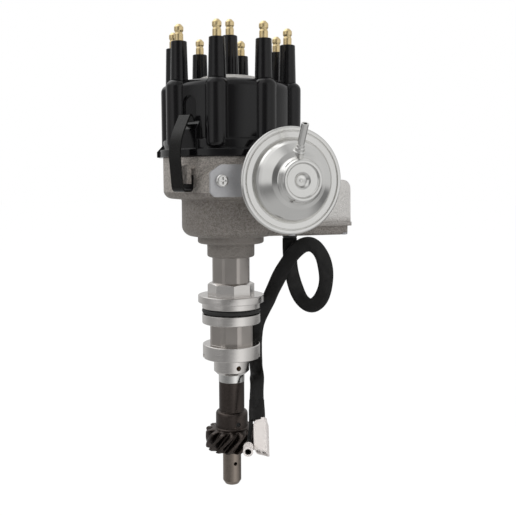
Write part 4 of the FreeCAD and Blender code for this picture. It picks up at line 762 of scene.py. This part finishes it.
def plug_point(u, v, t):
    """A point of the two-way connector in metres: u across its wide side, v outward, t down."""
    along, across, out = tail_ways()
    turn = math.radians(PLUG_TURN)
    wide = across * math.cos(turn) + out * math.sin(turn)
    deep = out * math.cos(turn) - across * math.sin(turn)
    start = Vector(LOOM_ROUTE[-1]) + along * PLUG_DOWN + across * PLUG_SHIFT
    return (start + wide * u + deep * v + along * t) / 1000


def plug_end(u, v):
    """How far down the slanted mating end lies."""
    across, outward = PLUG_SLANT
    return PLUG_CORNER_LENGTH + across * (u + PLUG_HALF_WIDE) + outward * (v + PLUG_HALF_DEEP)


def plug_ring(inset_wide, inset_deep, radius):
    """The connector's section, with rounded corners."""
    ring, steps = [], 5
    for quarter, (su, sv) in enumerate(CORNERS):
        for j in range(steps):
            angle = math.pi / 2 * (quarter + j / (steps - 1))
            u = su * (PLUG_HALF_WIDE - inset_wide - radius) + radius * math.cos(angle)
            v = sv * (PLUG_HALF_DEEP - inset_deep - radius) + radius * math.sin(angle)
            ring.append((u, v))
    return ring


def plug_rows():
    """Rows of (u, v, t) from the shoulders to the mating end."""
    shoulders = [
        (-1.5, 0.9, 1.6), (0.4, 0.75, 1.6), (1.6, 0.35, 1.4), (3.2, 0.05, 1.2),
        (PLUG_SHOULDER, 0.0, PLUG_CORNER),
    ]
    rows = []
    for t, inset, radius in shoulders:
        rows.append([(u, v, t) for u, v in plug_ring(inset, inset * 0.6, radius)])
    for share in (0.35, 0.7, 1.0):
        rows.append([
            (u, v, PLUG_SHOULDER + (plug_end(u, v) - 0.25 - PLUG_SHOULDER) * share)
            for u, v in plug_ring(0.0, 0.0, PLUG_CORNER)
        ])
    rows.append([(u, v, plug_end(u, v)) for u, v in plug_ring(0.2, 0.2, PLUG_CORNER)])
    return rows


def make_plug():
    """The two-way connector: rounded shoulders, a slanted mating end and its two open ways."""
    rows = plug_rows()
    size = len(rows[0])
    points = [plug_point(*place) for row in rows for place in row]
    faces = [tuple(range(size))] + band_faces(len(rows), size)
    rims = [list(range(len(points) - size, len(points)))]
    for middle in WAY_MIDDLES:
        first = len(points)
        mouth = [(middle + su * WAY_HALF_WIDE, sv * WAY_HALF_DEEP) for su, sv in CORNERS]
        points += [plug_point(u, v, plug_end(u, v) - back) for back in (0.0, WAY_DEPTH) for u, v in mouth]
        faces += band_faces(2, 4, first)
        faces.append(tuple(range(first + 4, first + 8)))
        rims.append(list(range(first, first + 4)))
    mesh = bmesh.new()
    made = [mesh.verts.new(p) for p in points]
    for face in faces:
        mesh.faces.new([made[i] for i in face])
    edges = []
    for rim in rims:
        edges += [mesh.edges.get((made[a], made[b])) for a, b in zip(rim, rim[1:] + rim[:1])]
    bmesh.ops.triangle_fill(mesh, edges=edges, use_beauty=True)
    data = bpy.data.meshes.new("plug")
    mesh.to_mesh(data)
    mesh.free()
    plug = add_object("plug", data)
    outward_faces(plug)
    data.polygons.foreach_set("use_smooth", [True] * len(data.polygons))
    place_piece(plug, "white_plastic", "two_way_plug")


def barrel_place(x, y, h):
    """A point in metres from the barrel connector's axis, with h along it."""
    axis = Vector(BARREL_WAY)
    side = axis.cross(Vector((0.0, 0.0, 1.0))).normalized()
    up = side.cross(axis)
    return (Vector(BARREL_FOOT) + side * x + up * y + axis * h) / 1000


def make_shaded_contacts():
    """The contact pieces in the mouths of the two connectors, coloured dark as painted shade for the dark
    inside the mouths.
    """
    half_wide, half_deep = WAY_HALF_WIDE - SHADED_CONTACT_GAP, WAY_HALF_DEEP - SHADED_CONTACT_GAP
    points, faces = [], []
    for middle in WAY_MIDDLES:
        first = len(points)
        block = [(middle + su * half_wide, sv * half_deep) for su, sv in CORNERS]
        for back in (SHADED_CONTACT_BACK, WAY_DEPTH - 0.1):
            points += [plug_point(u, v, plug_end(u, v) - back) for u, v in block]
        faces += band_faces(2, 4, first) + end_faces(2, 4, first)
    ways = mesh_object("ways", points, faces, False)
    outward_faces(ways)
    cup_line = [(0, 3.1), (2.05, 3.1), (2.05, 8.9), (1.75, 8.9), (1.7, 3.6), (0, 3.6)]
    cup = turned_mesh("cup", cup_line, barrel_place, segments=32)
    # painted shade: the contact pieces are dressed dark carbon
    place_piece(joined("shaded_contacts", [ways, cup]), "carbon")


def make_floor():
    """A pale floor that polished metal sees through, to the surround."""
    low = cad_box[0][2]
    corners = [(x * FLOOR_HALF, y * FLOOR_HALF, low) for x, y in CORNERS]
    floor = mesh_object("floor", corners, [(0, 1, 2, 3)], False)
    material = bpy.data.materials.new("pale_floor")
    t = Tree(material)
    share = t.math("MULTIPLY", t.node("LightPath", out="Is Camera Ray"), FLOOR_GLOW_SHARE)
    matte = t.node("BsdfDiffuse", Color=FLOOR_COLOUR)
    lit = t.node("MixShader", i0=share, i1=matte, i2=t.node("Emission", Strength=FLOOR_GLOW))
    glossy = t.node("LightPath", out="Is Glossy Ray")
    t.add("OutputMaterial", i0=t.node("MixShader", i0=glossy, i1=lit, i2=t.node("BsdfTransparent")))
    floor.data.materials.append(material)


def make_world():
    """White to the camera, a soft fill for matte surfaces and a banded studio for shiny ones."""
    world = bpy.data.worlds.new("studio")
    bpy.context.scene.world = world
    t = Tree(world)
    white = (1.0, 1.0, 1.0)
    x, y, z = t.parts(t.node("TexCoord", out="Generated"))
    bearing = t.math("ARCTAN2", x, t.math("MULTIPLY", y, -1.0))
    share = t.remap(bearing, -math.pi, math.pi)
    around = t.mix(t.remap(z, *LOW_TO_MIDDLE), t.band(share, LOW_SURROUND), t.band(share, SURROUND))
    around = t.mix(t.remap(z, *MIDDLE_TO_HIGH), around, t.band(share, HIGH_SURROUND))
    around = t.mix(t.remap(z, *LOW_TO_UNDERNEATH), around, grey(UNDERNEATH))
    mirrored = t.node("Background", Color=around, Strength=BRIGHTEST)
    fill = t.node("Background", Color=white, Strength=FILL_LEVEL)
    seen = t.node("Background", Color=white, Strength=1.0)
    glossy = t.node("LightPath", out="Is Glossy Ray")
    straight = t.math(
        "MAXIMUM", t.node("LightPath", out="Is Camera Ray"), t.node("LightPath", out="Is Transmission Ray"),
    )
    light = t.node("MixShader", i0=glossy, i1=fill, i2=mirrored)
    t.add("OutputWorld", i0=t.node("MixShader", i0=straight, i1=light, i2=seen))


def make_lamp(name, at, size, power):
    """A soft box aimed at the part, which shiny surfaces don't see."""
    data = bpy.data.lights.new(name, "AREA")
    data.shape = "RECTANGLE"
    data.size, data.size_y = size
    data.energy = power
    lamp = add_object(name, data)
    lamp.visible_glossy = False
    towards = (Vector(LAMP_AIM) - Vector(at)).normalized()
    lamp.matrix_world = Matrix.Translation(at) @ towards.to_track_quat("-Z", "Y").to_matrix().to_4x4()


make_camera()
loom, loom_path = make_loom()
for part in frame["record"]["subparts"]:
    dress(nodes[part["node"]], part["material_slot"])
    crease(nodes[part["node"]])
dress(loom, "loom_black")
make_can_front()
make_gear()
dress(nodes["thrust_ring"], "zinc")
dress(nodes["gear_pin"], "carbon")  # painted shade: dressed dark so that its end reads as the shaded hole it sits in
make_sleeve_end()
make_plug()
# painted shade: dark contact pieces in the connectors' mouths
make_shaded_contacts()
make_floor()
make_world()
for name, at, size, power in LAMPS:
    make_lamp(name, at, size, power)
bpy.context.scene.view_settings.view_transform = "Standard"
